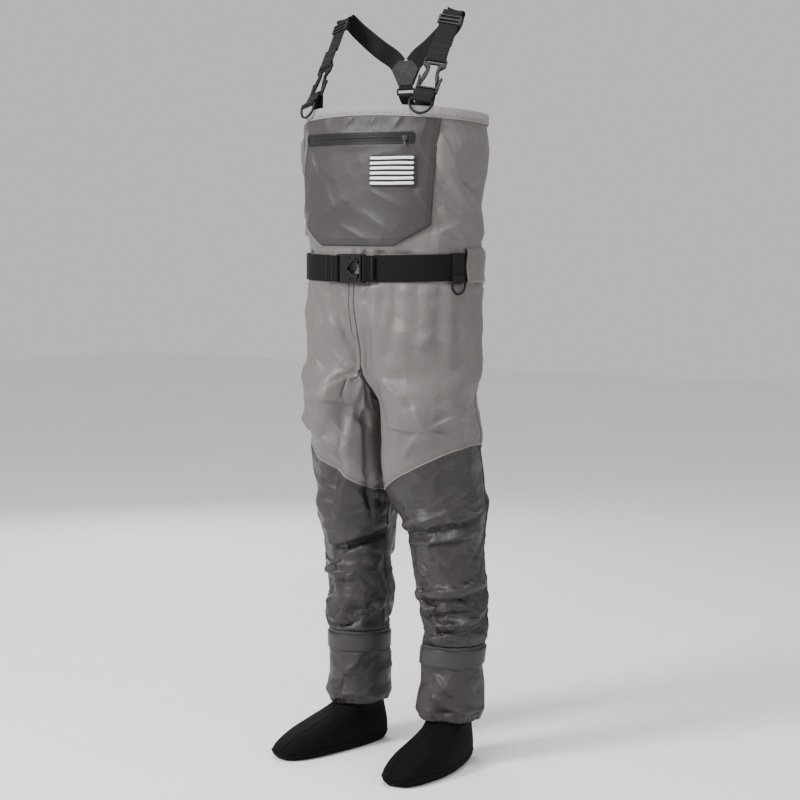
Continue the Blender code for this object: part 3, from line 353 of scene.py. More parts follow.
def thick(item, depth, levels=1):
    """Wall thickness inwards from the outer face, then subdivision."""
    wall = item.modifiers.new("wall", "SOLIDIFY")
    wall.thickness = depth
    wall.offset = -1.0
    wall.use_even_offset = False
    if levels:
        smooth = item.modifiers.new("smooth", "SUBSURF")
        smooth.levels = smooth.render_levels = levels


def tube(name, path, radius, look, body="garment", closed=False, sides=8, flat=1.0):
    """Round piping or thread along a path."""
    path = np.asarray(path, float)
    n = len(path)
    ahead = np.roll(path, -1, axis=0) if closed else np.vstack((path[1:], path[-1:]))
    back = np.roll(path, 1, axis=0) if closed else np.vstack((path[:1], path[:-1]))
    tangent = ahead - back
    tangent /= np.maximum(np.linalg.norm(tangent, axis=1, keepdims=True), 1e-9)
    up = np.array((0.0, 0.0, 1.0))
    points = []
    for i in range(n):
        guide = up if abs(tangent[i] @ up) < 0.9 else np.array((0.0, 1.0, 0.0))
        across = unit(np.cross(tangent[i], guide))
        other = np.cross(across, tangent[i])
        for k in range(sides):
            turn = 2 * math.pi * k / sides
            points.append(path[i] + radius * (math.cos(turn) * across * flat + math.sin(turn) * other))
    return piece(name, points, sweep_faces(n, sides, closed), look, body, crease=180)


def stitches(
    name, path, normals, look, body="garment", length=0.0030, gap=0.0016, radius=0.00038, lift=0.0002
):
    """Row of short threads lying on a surface, each an arch of three half rings with its ends sunk."""
    path, normals = np.asarray(path, float), np.asarray(normals, float)
    walked = walk(path)
    half_ring, points, faces = 5, [], []
    at = gap
    while at + length < walked[-1]:
        places = (at, at + length / 2, at + length)
        ends = [np.array([np.interp(d, walked, path[:, k]) for k in range(3)]) for d in places]
        normal = unit(np.array([np.interp(at, walked, normals[:, k]) for k in range(3)]))
        across = np.cross(unit(ends[2] - ends[0]), normal)
        first = len(points)
        for share, centre in zip((0.35, 1.0, 0.35), ends):
            for k in range(half_ring):
                turn = math.pi * k / (half_ring - 1)
                out = across * math.cos(turn) + normal * math.sin(turn)
                points.append(centre + normal * (lift + radius * (share - 1) * 0.8) + out * radius)
        for r in range(2):
            for k in range(half_ring - 1):
                base = first + r * half_ring + k
                faces.append([base, base + half_ring, base + half_ring + 1, base + 1])
        faces.append([first + k for k in range(half_ring)])
        faces.append([first + 2 * half_ring + k for k in reversed(range(half_ring))])
        at += length + gap
    return piece(name, points, faces, look, body, crease=180)


def ribbon(name, path, ups, width, depth, look, body="garment", nodes=()):
    """Webbing along a path: flat, with rounded selvedges. Its UVs run in metres."""
    path = np.asarray(path, float)
    tangent = unit(np.gradient(path, axis=0))
    side = unit(np.cross(tangent, np.asarray(ups, float)))
    up = np.cross(side, tangent)
    w, t = width / 2, depth / 2
    profile = []
    for start, sign in ((-90, 1), (90, -1)):
        for k in range(5):
            turn = math.radians(start + 45 * k)
            profile.append(((w - t) * sign + t * math.cos(turn), t * math.sin(turn)))
        for k in range(1, 8):
            belly = 1 + 0.10 * math.sin(math.pi * k / 8)
            profile.append(((w - t) * sign * (1 - k / 4), t * sign * belly))
    walked = walk(path)
    points, uvs = [], []
    for i in range(len(path)):
        for a, b in profile:
            points.append(path[i] + side[i] * a + up[i] * b)
            uvs.append((a, walked[i]))
    return piece(name, points, sweep_faces(len(path), len(profile)), look, body, nodes, uvs, crease=60)


def folded(name, axes, knots, width, depth, look, body, node_name):
    """Webbing bent in the plane of two axes, on a smooth curve through knots given along them."""
    origin, x, y = axes[:3]
    flat = smooth_path(knots, 5)
    path = [origin + x * a + y * b for a, b in flat]
    ups = [y * t[0] - x * t[1] for t in np.gradient(flat, axis=0)]
    ribbon(name, path, ups, width, depth, look, body, (node_name,))


# ---- Materials ----
def shader_of(name, colour, roughness, specular=0.5, sheen=0.0, coat=0.0):
    made = bpy.data.materials.new(name)
    made.use_nodes = True
    tree = made.node_tree
    shader = tree.nodes["Principled BSDF"]
    shader.inputs["Base Color"].default_value = (*colour, 1.0)
    shader.inputs["Roughness"].default_value = roughness
    shader.inputs["Specular IOR Level"].default_value = specular
    shader.inputs["Sheen Weight"].default_value = sheen
    shader.inputs["Sheen Roughness"].default_value = 0.5
    shader.inputs["Coat Weight"].default_value = coat
    shader.inputs["Coat Roughness"].default_value = 0.3
    return made, tree, shader


def node(tree, kind, **values):
    made = tree.nodes.new(kind)
    for key, value in values.items():
        if hasattr(made, key):
            setattr(made, key, value)
        else:
            made.inputs[key].default_value = value
    return made


def noise(tree, source, scale, detail=3.0, rough=0.55):
    made = node(tree, "ShaderNodeTexNoise")
    made.inputs["Scale"].default_value = scale
    made.inputs["Detail"].default_value = detail
    made.inputs["Roughness"].default_value = rough
    tree.links.new(source, made.inputs["Vector"])
    return made.outputs["Fac"]


def maths(tree, operation, a, b=0.0, c=0.0):
    made = node(tree, "ShaderNodeMath", operation=operation)
    for i, value in enumerate((a, b, c)):
        if isinstance(value, (int, float)):
            made.inputs[i].default_value = value
        else:
            tree.links.new(value, made.inputs[i])
    return made.outputs[0]


def ranged(tree, value, low, high):
    made = node(tree, "ShaderNodeMapRange")
    tree.links.new(value, made.inputs["Value"])
    made.inputs["From Min"].default_value = 0.3
    made.inputs["From Max"].default_value = 0.7
    made.inputs["To Min"].default_value = low
    made.inputs["To Max"].default_value = high
    return made.outputs["Result"]


def bumped(tree, shader, heights):
    """Chain of bumps: each is (height, strength, distance)."""
    last = None
    for height, strength, distance in heights:
        bump = node(tree, "ShaderNodeBump")
        bump.inputs["Strength"].default_value = strength
        bump.inputs["Distance"].default_value = distance
        tree.links.new(height, bump.inputs["Height"])
        if last is not None:
            tree.links.new(last, bump.inputs["Normal"])
        last = bump.outputs["Normal"]
    tree.links.new(last, shader.inputs["Normal"])


def tinted(tree, shader, colour, source, spread):
    """Base colour that varies a little about its mean."""
    ramp = node(tree, "ShaderNodeValToRGB")
    ramp.color_ramp.elements[0].position = 0.3
    ramp.color_ramp.elements[1].position = 0.7
    ramp.color_ramp.elements[0].color = (*[c * (1 - spread) for c in colour], 1)
    ramp.color_ramp.elements[1].color = (*[min(1.0, c * (1 + spread)) for c in colour], 1)
    tree.links.new(source, ramp.inputs["Fac"])
    tree.links.new(ramp.outputs["Color"], shader.inputs["Base Color"])


def ripple(tree, value, pitch):
    """Sine of a coordinate that repeats every pitch."""
    return maths(tree, "SINE", maths(tree, "MULTIPLY", value, 2 * math.pi / pitch))


def woven(tree, coordinates, pitch_u, pitch_v):
    """Plain weave height from coordinates in metres."""
    split = node(tree, "ShaderNodeSeparateXYZ")
    tree.links.new(coordinates, split.inputs[0])
    u, v = ripple(tree, split.outputs[0], pitch_u), ripple(tree, split.outputs[1], pitch_v)
    return maths(tree, "MULTIPLY_ADD", maths(tree, "MULTIPLY", u, v), 0.5, 0.5)


def crinkled(tree, place, scale, stretch):
    """Heights of small cones that meet in sharp lines, as creased film folds, in warped coordinates."""
    warp = node(tree, "ShaderNodeTexNoise")
    warp.inputs["Scale"].default_value = scale * 0.6
    tree.links.new(place, warp.inputs["Vector"])
    push = node(tree, "ShaderNodeVectorMath", operation="MULTIPLY_ADD")
    tree.links.new(warp.outputs["Color"], push.inputs[0])
    push.inputs[1].default_value = (1.1 / scale,) * 3
    tree.links.new(place, push.inputs[2])
    squeeze = node(tree, "ShaderNodeVectorMath", operation="MULTIPLY")
    tree.links.new(push.outputs[0], squeeze.inputs[0])
    squeeze.inputs[1].default_value = stretch
    cells = node(tree, "ShaderNodeTexVoronoi")
    cells.inputs["Scale"].default_value = scale
    tree.links.new(squeeze.outputs[0], cells.inputs["Vector"])
    return cells.outputs["Distance"]


def coated_nylon(name, colour, roughness=0.40, spread=0.06, crease=1.0, stretch=(1.0, 1.0, 1.0)):
    """Laminated shell fabric: tight weave, soft film sheen, sharp film creases and faint handling marks."""
    made, tree, shader = shader_of(name, colour, roughness, 0.36, 0.0)
    place = node(tree, "ShaderNodeTexCoord")
    weave = woven(tree, place.outputs["UV"], 0.0011, 0.0011)
    grain = noise(tree, place.outputs["Object"], 900.0, 2.0)
    pebble = noise(tree, place.outputs["Object"], 120.0, 4.0)
    cloud = noise(tree, place.outputs["Object"], 14.0, 5.0, 0.6)
    mixed = maths(tree, "MULTIPLY_ADD", cloud, 0.75, maths(tree, "MULTIPLY", grain, 0.25))
    tinted(tree, shader, colour, mixed, spread)
    tree.links.new(ranged(tree, pebble, roughness - 0.05, roughness + 0.08), shader.inputs["Roughness"])
    broad = crinkled(tree, place.outputs["Object"], 13.0, stretch)
    fine = crinkled(tree, place.outputs["Object"], 34.0, stretch)
    folds = ((broad, 0.9 * crease, 0.0150), (fine, 0.40 * crease, 0.0034))
    bumped(tree, shader, folds + ((weave, 0.22, 0.00018), (pebble, 0.10, 0.0008)))
    return made


def webbing_of(name, colour, ribs=0.0016):
    """Woven webbing: crosswise ribs and a herringbone face."""
    made, tree, shader = shader_of(name, colour, 0.75, 0.12, 0.0)
    place = node(tree, "ShaderNodeTexCoord")
    split = node(tree, "ShaderNodeSeparateXYZ")
    tree.links.new(place.outputs["UV"], split.inputs[0])
    zigzag = maths(tree, "PINGPONG", split.outputs[0], 0.0045)
    slant = maths(tree, "ADD", split.outputs[1], zigzag)
    rib = maths(tree, "MULTIPLY_ADD", ripple(tree, slant, ribs), 0.5, 0.5)
    warp = maths(tree, "MULTIPLY_ADD", ripple(tree, split.outputs[0], 0.0011), 0.5, 0.5)
    face = maths(tree, "MULTIPLY", rib, maths(tree, "MULTIPLY_ADD", warp, 0.4, 0.6))
    fuzz = noise(tree, place.outputs["Object"], 700.0, 3.0)
    # Colour: raised weave tinted lighter as a painted highlight on the ribs, plus random fuzz tone.
    rib_highlight_and_fuzz = maths(tree, "MULTIPLY_ADD", face, 0.35, maths(tree, "MULTIPLY_ADD", fuzz, 0.4, 0.13))
    tinted(tree, shader, colour, rib_highlight_and_fuzz, 0.35)
    bumped(tree, shader, ((face, 0.55, 0.0004), (fuzz, 0.25, 0.0003)))
    return made


def moulded(name, colour, roughness=0.34):
    """Acetal moulding: fine spark-eroded texture, with polished and rubbed patches."""
    made, tree, shader = shader_of(name, colour, roughness, 0.22, 0.0, 0.0)
    place = node(tree, "ShaderNodeTexCoord")
    fine = noise(tree, place.outputs["Object"], 1500.0, 2.0)
    rub = noise(tree, place.outputs["Object"], 90.0, 4.0)
    tinted(tree, shader, colour, rub, 0.25)
    tree.links.new(ranged(tree, rub, roughness - 0.07, roughness + 0.12), shader.inputs["Roughness"])
    bumped(tree, shader, ((fine, 0.20, 0.0001),))
    return made


def neoprene_of(name, colour):
    """Neoprene under a fine knit face, with small dimples."""
    made, tree, shader = shader_of(name, colour, 0.85, 0.10, 0.0)
    place = node(tree, "ShaderNodeTexCoord")
    cell = node(tree, "ShaderNodeTexVoronoi")
    cell.inputs["Scale"].default_value = 520.0
    tree.links.new(place.outputs["Object"], cell.inputs["Vector"])
    knit = woven(tree, place.outputs["UV"], 0.0020, 0.0026)
    soft = noise(tree, place.outputs["Object"], 35.0, 4.0)
    mixed = maths(tree, "MULTIPLY_ADD", knit, 0.3, maths(tree, "MULTIPLY", soft, 0.6))
    tinted(tree, shader, colour, mixed, 0.35)
    dimples = cell.outputs["Distance"]
    bumped(tree, shader, ((knit, 0.35, 0.0003), (dimples, 0.30, 0.0003), (soft, 0.20, 0.003)))
    return made


def foam_of(name, colour, spread=0.05):
    made, tree, shader = shader_of(name, colour, 0.78, 0.3, 0.10)
    place = node(tree, "ShaderNodeTexCoord")
    pore = noise(tree, place.outputs["Object"], 1100.0, 3.0)
    soft = noise(tree, place.outputs["Object"], 130.0, 3.0)
    tinted(tree, shader, colour, soft, spread)
    bumped(tree, shader, ((pore, 0.35, 0.0002), (soft, 0.25, 0.0006)))
    return made


def tape_of(name, colour, roughness, pitch=0.0):
    """Bonded zip film, or the coil under it when it has a pitch."""
    made, tree, shader = shader_of(name, colour, roughness, 0.3, 0.0, 0.04)
    place = node(tree, "ShaderNodeTexCoord")
    soft = noise(tree, place.outputs["Object"], 160.0, 3.0)
    tinted(tree, shader, colour, soft, 0.18)
    heights = [(soft, 0.22, 0.0006)]
    if pitch:
        split = node(tree, "ShaderNodeSeparateXYZ")
        tree.links.new(place.outputs["Object"], split.inputs[0])
        coil = maths(tree, "ABSOLUTE", ripple(tree, split.outputs[0], 2 * pitch))
        heights.append((coil, 0.9, 0.0006))
    bumped(tree, shader, heights)
    return made


def thread_of(name, colour):
    made, tree, shader = shader_of(name, colour, 0.65, 0.3, 0.10)
    place = node(tree, "ShaderNodeTexCoord")
    twist = noise(tree, place.outputs["Object"], 2200.0, 2.0)
    tinted(tree, shader, colour, twist, 0.2)
    bumped(tree, shader, ((twist, 0.4, 0.0002),))
    return made


LIGHT = (0.121, 0.111, 0.107)
DARK = (0.0275, 0.0235, 0.0230)
shell = coated_nylon("shell_nylon", LIGHT, 0.44, 0.05, 0.7, (1.0, 1.0, 0.8))
seam_light = coated_nylon("seam_tape_light", (0.120, 0.111, 0.106), 0.46, 0.06, 0.0)
hem_fabric = coated_nylon("hem_nylon", (0.235, 0.222, 0.214), 0.55, 0.04, 0.15)
pocket_fabric = coated_nylon("pocket_nylon", (0.038, 0.0338, 0.0330), 0.48, 0.06, 0.35)
leg_fabric = coated_nylon("leg_nylon", DARK, 0.47, 0.06, 1.0, (1.0, 1.0, 1.9))
band_fabric = coated_nylon("band_nylon", (0.031, 0.0272, 0.0268), 0.50, 0.06, 0.2)
yoke_fabric = coated_nylon("yoke_nylon", (0.0135, 0.0120, 0.0124), 0.62, 0.06, 0.15)
binding = coated_nylon("pocket_binding", (0.0085, 0.0075, 0.0075), 0.50, 0.04, 0.0)
webbing = webbing_of("webbing_black", (0.0120, 0.0108, 0.0110))
belt_webbing = webbing_of("belt_webbing_black", (0.0060, 0.0049, 0.0050), 0.0020)
elastic = webbing_of("gathered_elastic", (0.016, 0.014, 0.015), 0.0030)
plastic = moulded("buckle_acetal", (0.0045, 0.0043, 0.0045), 0.42)
# Zip slider and pull: black gloss lifted to dark grey, a painted highlight for their glints.
zip_pull_glint_grey = moulded("zip_pull_painted_glint", (0.060, 0.060, 0.062), 0.18)
neoprene = neoprene_of("neoprene_black", (0.0040, 0.0035, 0.0037))
foam_black = foam_of("foam_black", (0.016, 0.015, 0.016), 0.2)
foam_white = foam_of("foam_white", (0.78, 0.78, 0.77), 0.03)
zip_film = tape_of("zip_surround_film", (0.0095, 0.0088, 0.0090), 0.40)
zip_tape = tape_of("zip_tape_film", (0.0150, 0.0140, 0.0140), 0.27)
zip_coil = tape_of("zip_coil", (0.0050, 0.0050, 0.0050), 0.38, 0.0014)
thread_dark = thread_of("thread_dark", (0.030, 0.027, 0.026))
thread_grey = thread_of("thread_grey", (0.120, 0.110, 0.104))
piping_pale = thread_of("piping_pale", (0.25, 0.235, 0.225))
seam_dark = thread_of("seam_shadow", (0.055, 0.050, 0.047))


# ---- Draping ----
def drape(name, points, faces, pinned, slack, body_points, body_faces, frames, stretch):
    """Simulated cloth: extra length settles into folds round a slightly smaller body."""
    mesh = bpy.data.meshes.new(name)
    mesh.from_pydata(points.tolist(), [], faces)
    cloth = bpy.data.objects.new(name, mesh)
    bpy.context.scene.collection.objects.link(cloth)
    held = cloth.vertex_groups.new(name="held")
    loose = cloth.vertex_groups.new(name="loose")
    for i in range(len(points)):
        held.add([i], float(pinned[i]), "REPLACE")
        loose.add([i], float(1 - slack[i]), "REPLACE")
    hard = bpy.data.meshes.new(name + "_body")
    hard.from_pydata(body_points.tolist(), [], body_faces)
    form = bpy.data.objects.new(name + "_body", hard)
    bpy.context.scene.collection.objects.link(form)
    form.modifiers.new("collision", "COLLISION")
    form.collision.thickness_outer = 0.001
    form.collision.cloth_friction = 8.0
    modifier = cloth.modifiers.new("cloth", "CLOTH")
    settings = modifier.settings
    settings.quality = 6
    settings.mass = 0.12
    settings.air_damping = 2.0
    settings.tension_stiffness = settings.compression_stiffness = 25.0
    settings.shear_stiffness = 12.0
    settings.bending_stiffness = 4.0
    settings.vertex_group_mass = "held"
    settings.pin_stiffness = 3.0
    settings.vertex_group_shrink = "loose"
    settings.shrink_min = -stretch
    settings.shrink_max = 0.0
    settings.effector_weights.gravity = 0.6
    modifier.collision_settings.use_collision = True
    modifier.collision_settings.collision_quality = 2
    modifier.collision_settings.distance_min = 0.001
    modifier.collision_settings.use_self_collision = False
    modifier.point_cache.frame_start = 1
    modifier.point_cache.frame_end = frames
    scene = bpy.context.scene
    for step in range(1, frames + 1):
        scene.frame_set(step)
    graph = bpy.context.evaluated_depsgraph_get()
    settled = cloth.evaluated_get(graph).to_mesh()
    result = np.zeros(len(settled.vertices) * 3)
    settled.vertices.foreach_get("co", result)
    for item in (cloth, form):
        bpy.data.objects.remove(item)
    scene.frame_set(1)
    return result.reshape(-1, 3)


def limited(base, moved, normals, inward, outward):
    """Moved points kept within bounds of the base surface, along its normal."""
    away = moved - base
    depth = np.sum(away * normals, axis=1)
    kept = np.where(depth > 0, outward * np.tanh(depth / outward), -inward * np.tanh(-depth / inward))
    slide = away - depth[:, None] * normals
    length = np.linalg.norm(slide, axis=1, keepdims=True)
    slide *= np.minimum(1.0, SLIDE_LIMIT / np.maximum(length, 1e-9))
    return base + slide + kept[:, None] * normals


def between(grid, closed):
    """Grid with FINE times as many rows, on smooth curves through the old ones."""
    n = len(grid)
    at = np.arange(n * FINE if closed else (n - 1) * FINE + 1) / FINE
    first = np.minimum(at.astype(int), n - (1 if closed else 2))
    t = (at - first)[:, None, None]
    pick = [grid[(first + k) % n] if closed else grid[np.clip(first + k, 0, n - 1)] for k in (-1, 0, 1, 2)]
    slope_a, slope_b = (pick[2] - pick[0]) / 2, (pick[3] - pick[1]) / 2
    rise = pick[2] - pick[1]
    return pick[1] + t * (slope_a + t * (3 * rise - 2 * slope_a - slope_b + t * (slope_a + slope_b - 2 * rise)))


def refined(points, rows, columns):
    grid = between(np.asarray(points).reshape(rows, columns, -1), False)
    grid = between(grid.transpose(1, 0, 2), True).transpose(1, 0, 2)
    return grid.reshape(-1, grid.shape[2])


def facets(x, z, period, wide, tall, seed, slant=0.0, span=None):
    """Flat facets that meet in sharp folds, as a stiff coated fabric takes: heights from -1 to 1.

    x goes round a closed panel of the given period; slant leans the facets; span is the panel's lowest and
    highest level, where z doesn't hold them.
    """
    rng = np.random.default_rng(seed)
    x = np.mod(x, period)
    across = max(3, round(period / wide))
    low, high = span or (float(z.min()), float(z.max()))
    low, high = low - 1.5 * tall, high + 1.5 * tall
    rows = int((high - low) / tall) + 2
    spots, heights = [], []
    for r in range(rows):
        for c in range(across):
            shift = rng.uniform(-0.42, 0.42, 2)
            spot = ((c + 0.5 * (r % 2) + shift[0]) / across * period, low + (r + shift[1]) * tall)
            height = rng.uniform(-1, 1)
            for wrap in (-1, 0, 1):
                spots.append((spot[0] + wrap * period, spot[1]))
                heights.append(height)
    inside = [k for k, (a, _) in enumerate(spots) if -0.6 * period < a < 1.6 * period]
    corners = [Vector(spots[k]) for k in inside]
    triangles = delaunay_2d_cdt(corners, [], [], 0, 1e-9)[2]
    at_x, at_z = x + slant * (z - low), z
    at_x = np.mod(at_x, period)
    result = np.zeros_like(x)
    for triangle in triangles:
        (ax, az), (bx, bz), (cx, cz) = (spots[inside[k]] for k in triangle)
        near_x = (at_x >= min(ax, bx, cx)) & (at_x <= max(ax, bx, cx))
        near_z = (at_z >= min(az, bz, cz)) & (at_z <= max(az, bz, cz))
        index = np.nonzero(near_x & near_z)[0]
        if not len(index):
            continue
        px, pz = at_x[index], at_z[index]
        area = (bz - cz) * (ax - cx) + (cx - bx) * (az - cz)
        u = ((bz - cz) * (px - cx) + (cx - bx) * (pz - cz)) / area
        v = ((cz - az) * (px - cx) + (ax - cx) * (pz - cz)) / area
        hit = (u >= -1e-9) & (v >= -1e-9) & (u + v <= 1 + 1e-9)
        a, b, c = (heights[inside[k]] for k in triangle)
        result[index[hit]] = (u * a + v * b + (1 - u - v) * c)[hit]
    return result


class Panel:
    """Sheet of rows and closed columns, read at fractional places of the sheet before it was refined."""

    def __init__(self, points, rows, columns, normals):
        self.rows, self.columns = rows, columns
        self.points = points.reshape(rows, columns, 3)
        self.normals = normals.reshape(rows, columns, 3)

    def read(self, row, column, out=0.0):
        row = np.clip(np.asarray(row, float) * FINE, 0, self.rows - 1.0001)
        column = np.mod(np.asarray(column, float) * FINE, self.columns)
        r, c = row.astype(int), column.astype(int)
        a, b = (row - r)[..., None], (column - c)[..., None]
        d = (c + 1) % self.columns
        result = []
        for table in (self.points, self.normals):
            top = table[r, c] * (1 - b) + table[r, d] * b
            low = table[r + 1, c] * (1 - b) + table[r + 1, d] * b
            result.append(top * (1 - a) + low * a)
        normal = result[1] / np.linalg.norm(result[1], axis=-1, keepdims=True)
        return result[0] + normal * np.asarray(out)[..., None], normal


# ---- Bib ----
# start and end as distance round from the front centre and height, width, height, lean
BIB_FOLDS = (
    ((0.165, 1.215), (0.205, 1.120), 0.012, 0.0070, 0.4),
    ((0.170, 1.150), (0.235, 1.060), 0.014, 0.0070, -0.3),
    ((0.165, 1.060), (0.250, 1.030), 0.012, 0.0065, 0.4),
    ((0.130, 1.000), (0.230, 1.045), 0.010, 0.0055, 0.5),
    ((0.195, 1.120), (0.280, 1.090), 0.016, -0.0050, 0.0),
    ((0.120, 0.985), (0.250, 0.990), 0.009, 0.0045, 0.3),
    ((-0.165, 1.210), (-0.215, 1.110), 0.013, 0.0065, 0.3),
    ((-0.170, 1.080), (-0.250, 1.030), 0.013, 0.0060, -0.3),
    ((-0.140, 1.000), (-0.240, 1.040), 0.011, 0.0055, 0.4),
    ((0.300, 1.180), (0.360, 1.080), 0.018, 0.0060, 0.2),
    ((-0.300, 1.180), (-0.380, 1.060), 0.018, 0.0060, 0.2),
    ((0.420, 1.160), (0.380, 1.050), 0.018, 0.0060, 0.2),
)


def torso_unrolled():
    angles = 2 * np.pi * np.arange(TORSO_COLUMNS) / TORSO_COLUMNS
    signed = np.where(angles > np.pi, angles - 2 * np.pi, angles)
    points, distance = [], []
    for r in range(TORSO_ROWS):
        share = r / (TORSO_ROWS - 1)
        for c, angle in enumerate(angles):
            top = float(hem_height(angle)) - HEM_CLEAR
            z = top + (WAIST - top) * share
            points.append(torso_point(angle, z))
            walked = np.interp(abs(signed[c]), *arc_of(1.1))
            distance.append(math.copysign(float(walked), signed[c]))
    return np.array(points), np.array(distance)


def make_torso():
    base, x = torso_unrolled()
    z = base[:, 2]
    faces = grid_faces(TORSO_ROWS, TORSO_COLUMNS, True)
    normals = vertex_normals(base, faces)
    side = np.abs(x)
    seed = 0.0035 * wave_noise(x, z, 0.13, 21)
    pleat = np.sin(x * 165 + 2.2 * np.sin(x * 37)) * np.exp(-np.abs(z - 0.976) / 0.020)
    seed += 0.0022 * pleat
    free = ease((1.215 - z) / 0.03) * ease((z - 0.955) / 0.02)
    under_pocket = ease((0.175 - side) / 0.02) * (z > 0.985)
    calm = free * (1 - 0.85 * under_pocket)
    start = base + normals * (seed * calm)[:, None]
    moved = start
    inner = base - normals * 0.007
    pinned = np.clip(1.0 - calm * 1.4, 0.0, 1.0)
    slack = np.clip(calm, 0, 1)
    moved = drape("bib_drape", start, faces, pinned, slack, inner, faces, 30, 0.012)
    outward = 0.0011 + 0.010 * calm * ease((z - 0.985) / 0.03)
    moved = limited(base, moved, normals, 0.004 + 0.012 * calm, outward)
    rows, columns = (TORSO_ROWS - 1) * FINE + 1, TORSO_COLUMNS * FINE
    moved, base = refined(moved, TORSO_ROWS, TORSO_COLUMNS), refined(base, TORSO_ROWS, TORSO_COLUMNS)
    calm = refined(calm, TORSO_ROWS, TORSO_COLUMNS)[:, 0]
    faces = grid_faces(rows, columns, True)
    angle = 2 * np.pi * np.arange(columns) / columns
    signed = np.where(angle > np.pi, angle - 2 * np.pi, angle)
    x = np.tile(np.sign(signed) * np.interp(np.abs(signed), *arc_of(1.1)), rows)
    z = base[:, 2]
    span = 2 * float(arc_of(1.1)[1][-1])
    relief = 0.0055 * facets(x, z, span, 0.070, 0.055, 12, 0.5)
    relief = relief + 0.0012 * facets(x, z, span, 0.026, 0.022, 13, -0.4)
    for a, b, width, height, lean in BIB_FOLDS:
        relief += stroke(x, z, a, b, width * 1.1, height * 1.5, min(RIDGE_LIMIT, lean * 1.6))
    pleat = np.abs(np.sin(x * 88 + 1.6 * np.sin(x * 29))) * np.exp(-np.abs(z - 0.984) / 0.020)
    relief += 0.0040 * pleat * (0.5 + 0.5 * np.sin(x * 23 + 1)) * (z < 1.03)
    normals = vertex_normals(moved, faces)
    outward = 0.0011 + 0.010 * calm * ease((z - 0.985) / 0.03)
    moved = moved + normals * (relief * np.clip(calm, 0, 1))[:, None]
    moved = limited(base, moved, normals, 0.004 + 0.012 * calm, outward)
    return Panel(moved, rows, columns, vertex_normals(moved, faces)), faces, x


torso, torso_faces, torso_x = make_torso()


def make_bib():
    shared = torso.points.reshape(-1, 3)
    uvs = np.stack((torso_x, shared[:, 2]), axis=1)
    item = piece("bib_shell_cloth", shared, torso_faces, shell, nodes=("bib_shell",), uvs=uvs)
    thick(item, WALL, 0)


def make_hem():
    """Folded binding over the bib's top edge, puckered a little along its stitching."""
    columns = 240
    angles = 2 * np.pi * np.arange(columns) / columns
    top = hem_height(angles)
    profile = (
        (0.0008, -HEM_BAND), (0.0024, -HEM_BAND - 0.0002), (0.0030, -HEM_BAND + 0.0018),
        (0.0021, -HEM_BAND + 0.0034), (0.0027, -0.0125), (0.0027, -0.0070), (0.0021, -0.0010),
        (0.0008, 0.0012), (-0.0010, 0.0019), (-0.0028, 0.0010), (-0.0042, -0.0030), (-0.0044, -0.0120),
        (-0.0038, -HEM_BAND), (-0.0030, -HEM_BAND), (-0.0029, -0.0040), (0.0006, -0.0040),
    )
    points, uvs = [], []
    for c, angle in enumerate(angles):
        walked = angle * WAIST_RADIUS
        broad = 0.0007 * math.sin(walked * 61 + 1.3) * math.sin(walked * 17)
        pucker = 0.00035 * math.sin(walked * 520) + broad
        for out, rise in profile:
            belly = max(0.0, 1 - abs(rise + 0.010) / 0.010)
            point = torso_point(angle, float(top[c]) + rise, out + pucker * (0.4 + belly) * (out > 0.001))
            points.append(point)
            uvs.append((walked, rise + out))
    n = len(profile)
    faces = []
    for c in range(columns):
        d = (c + 1) % columns
        for i in range(n):
            j = (i + 1) % n
            faces.append([c * n + i, d * n + i, d * n + j, c * n + j])
    piece("top_hem_binding", points, faces, hem_fabric, nodes=("top_hem",), uvs=uvs, crease=60)
    for name, drop in (("hem_stitch_low", HEM_BAND - 0.0028), ("hem_stitch_high", HEM_BAND - 0.0060)):
        path, normals = [], []
        for angle in np.linspace(0, 2 * np.pi, 520):
            z = float(hem_height(angle)) - drop
            path.append(torso_point(angle, z, 0.0030 if drop > 0.015 else 0.0026))
            normals.append((math.sin(angle), -math.cos(angle), 0.0))
        stitches(name, path, normals, thread_grey)


def pocket_outline(u, v):
    """Distance round the torso and height of the pocket's panel."""
    u, v = np.asarray(u, float), np.asarray(v, float)
    side_share = 0.86
    t = np.clip(v / side_share, 0, 1)
    s = np.clip((v - side_share) / (1 - side_share), 0, 1)
    half = POCKET_TOP_HALF + (POCKET_SIDE_HALF - POCKET_TOP_HALF) * t
    half = half + (POCKET_BOTTOM_HALF - POCKET_SIDE_HALF) * s
    distance = (2 * u - 1) * half
    top = hem_height(distance / WAIST_RADIUS) - HEM_BAND - 0.001
    z = top + (POCKET_SIDE - top) * t + (POCKET_BOTTOM - POCKET_SIDE) * s
    return distance, z


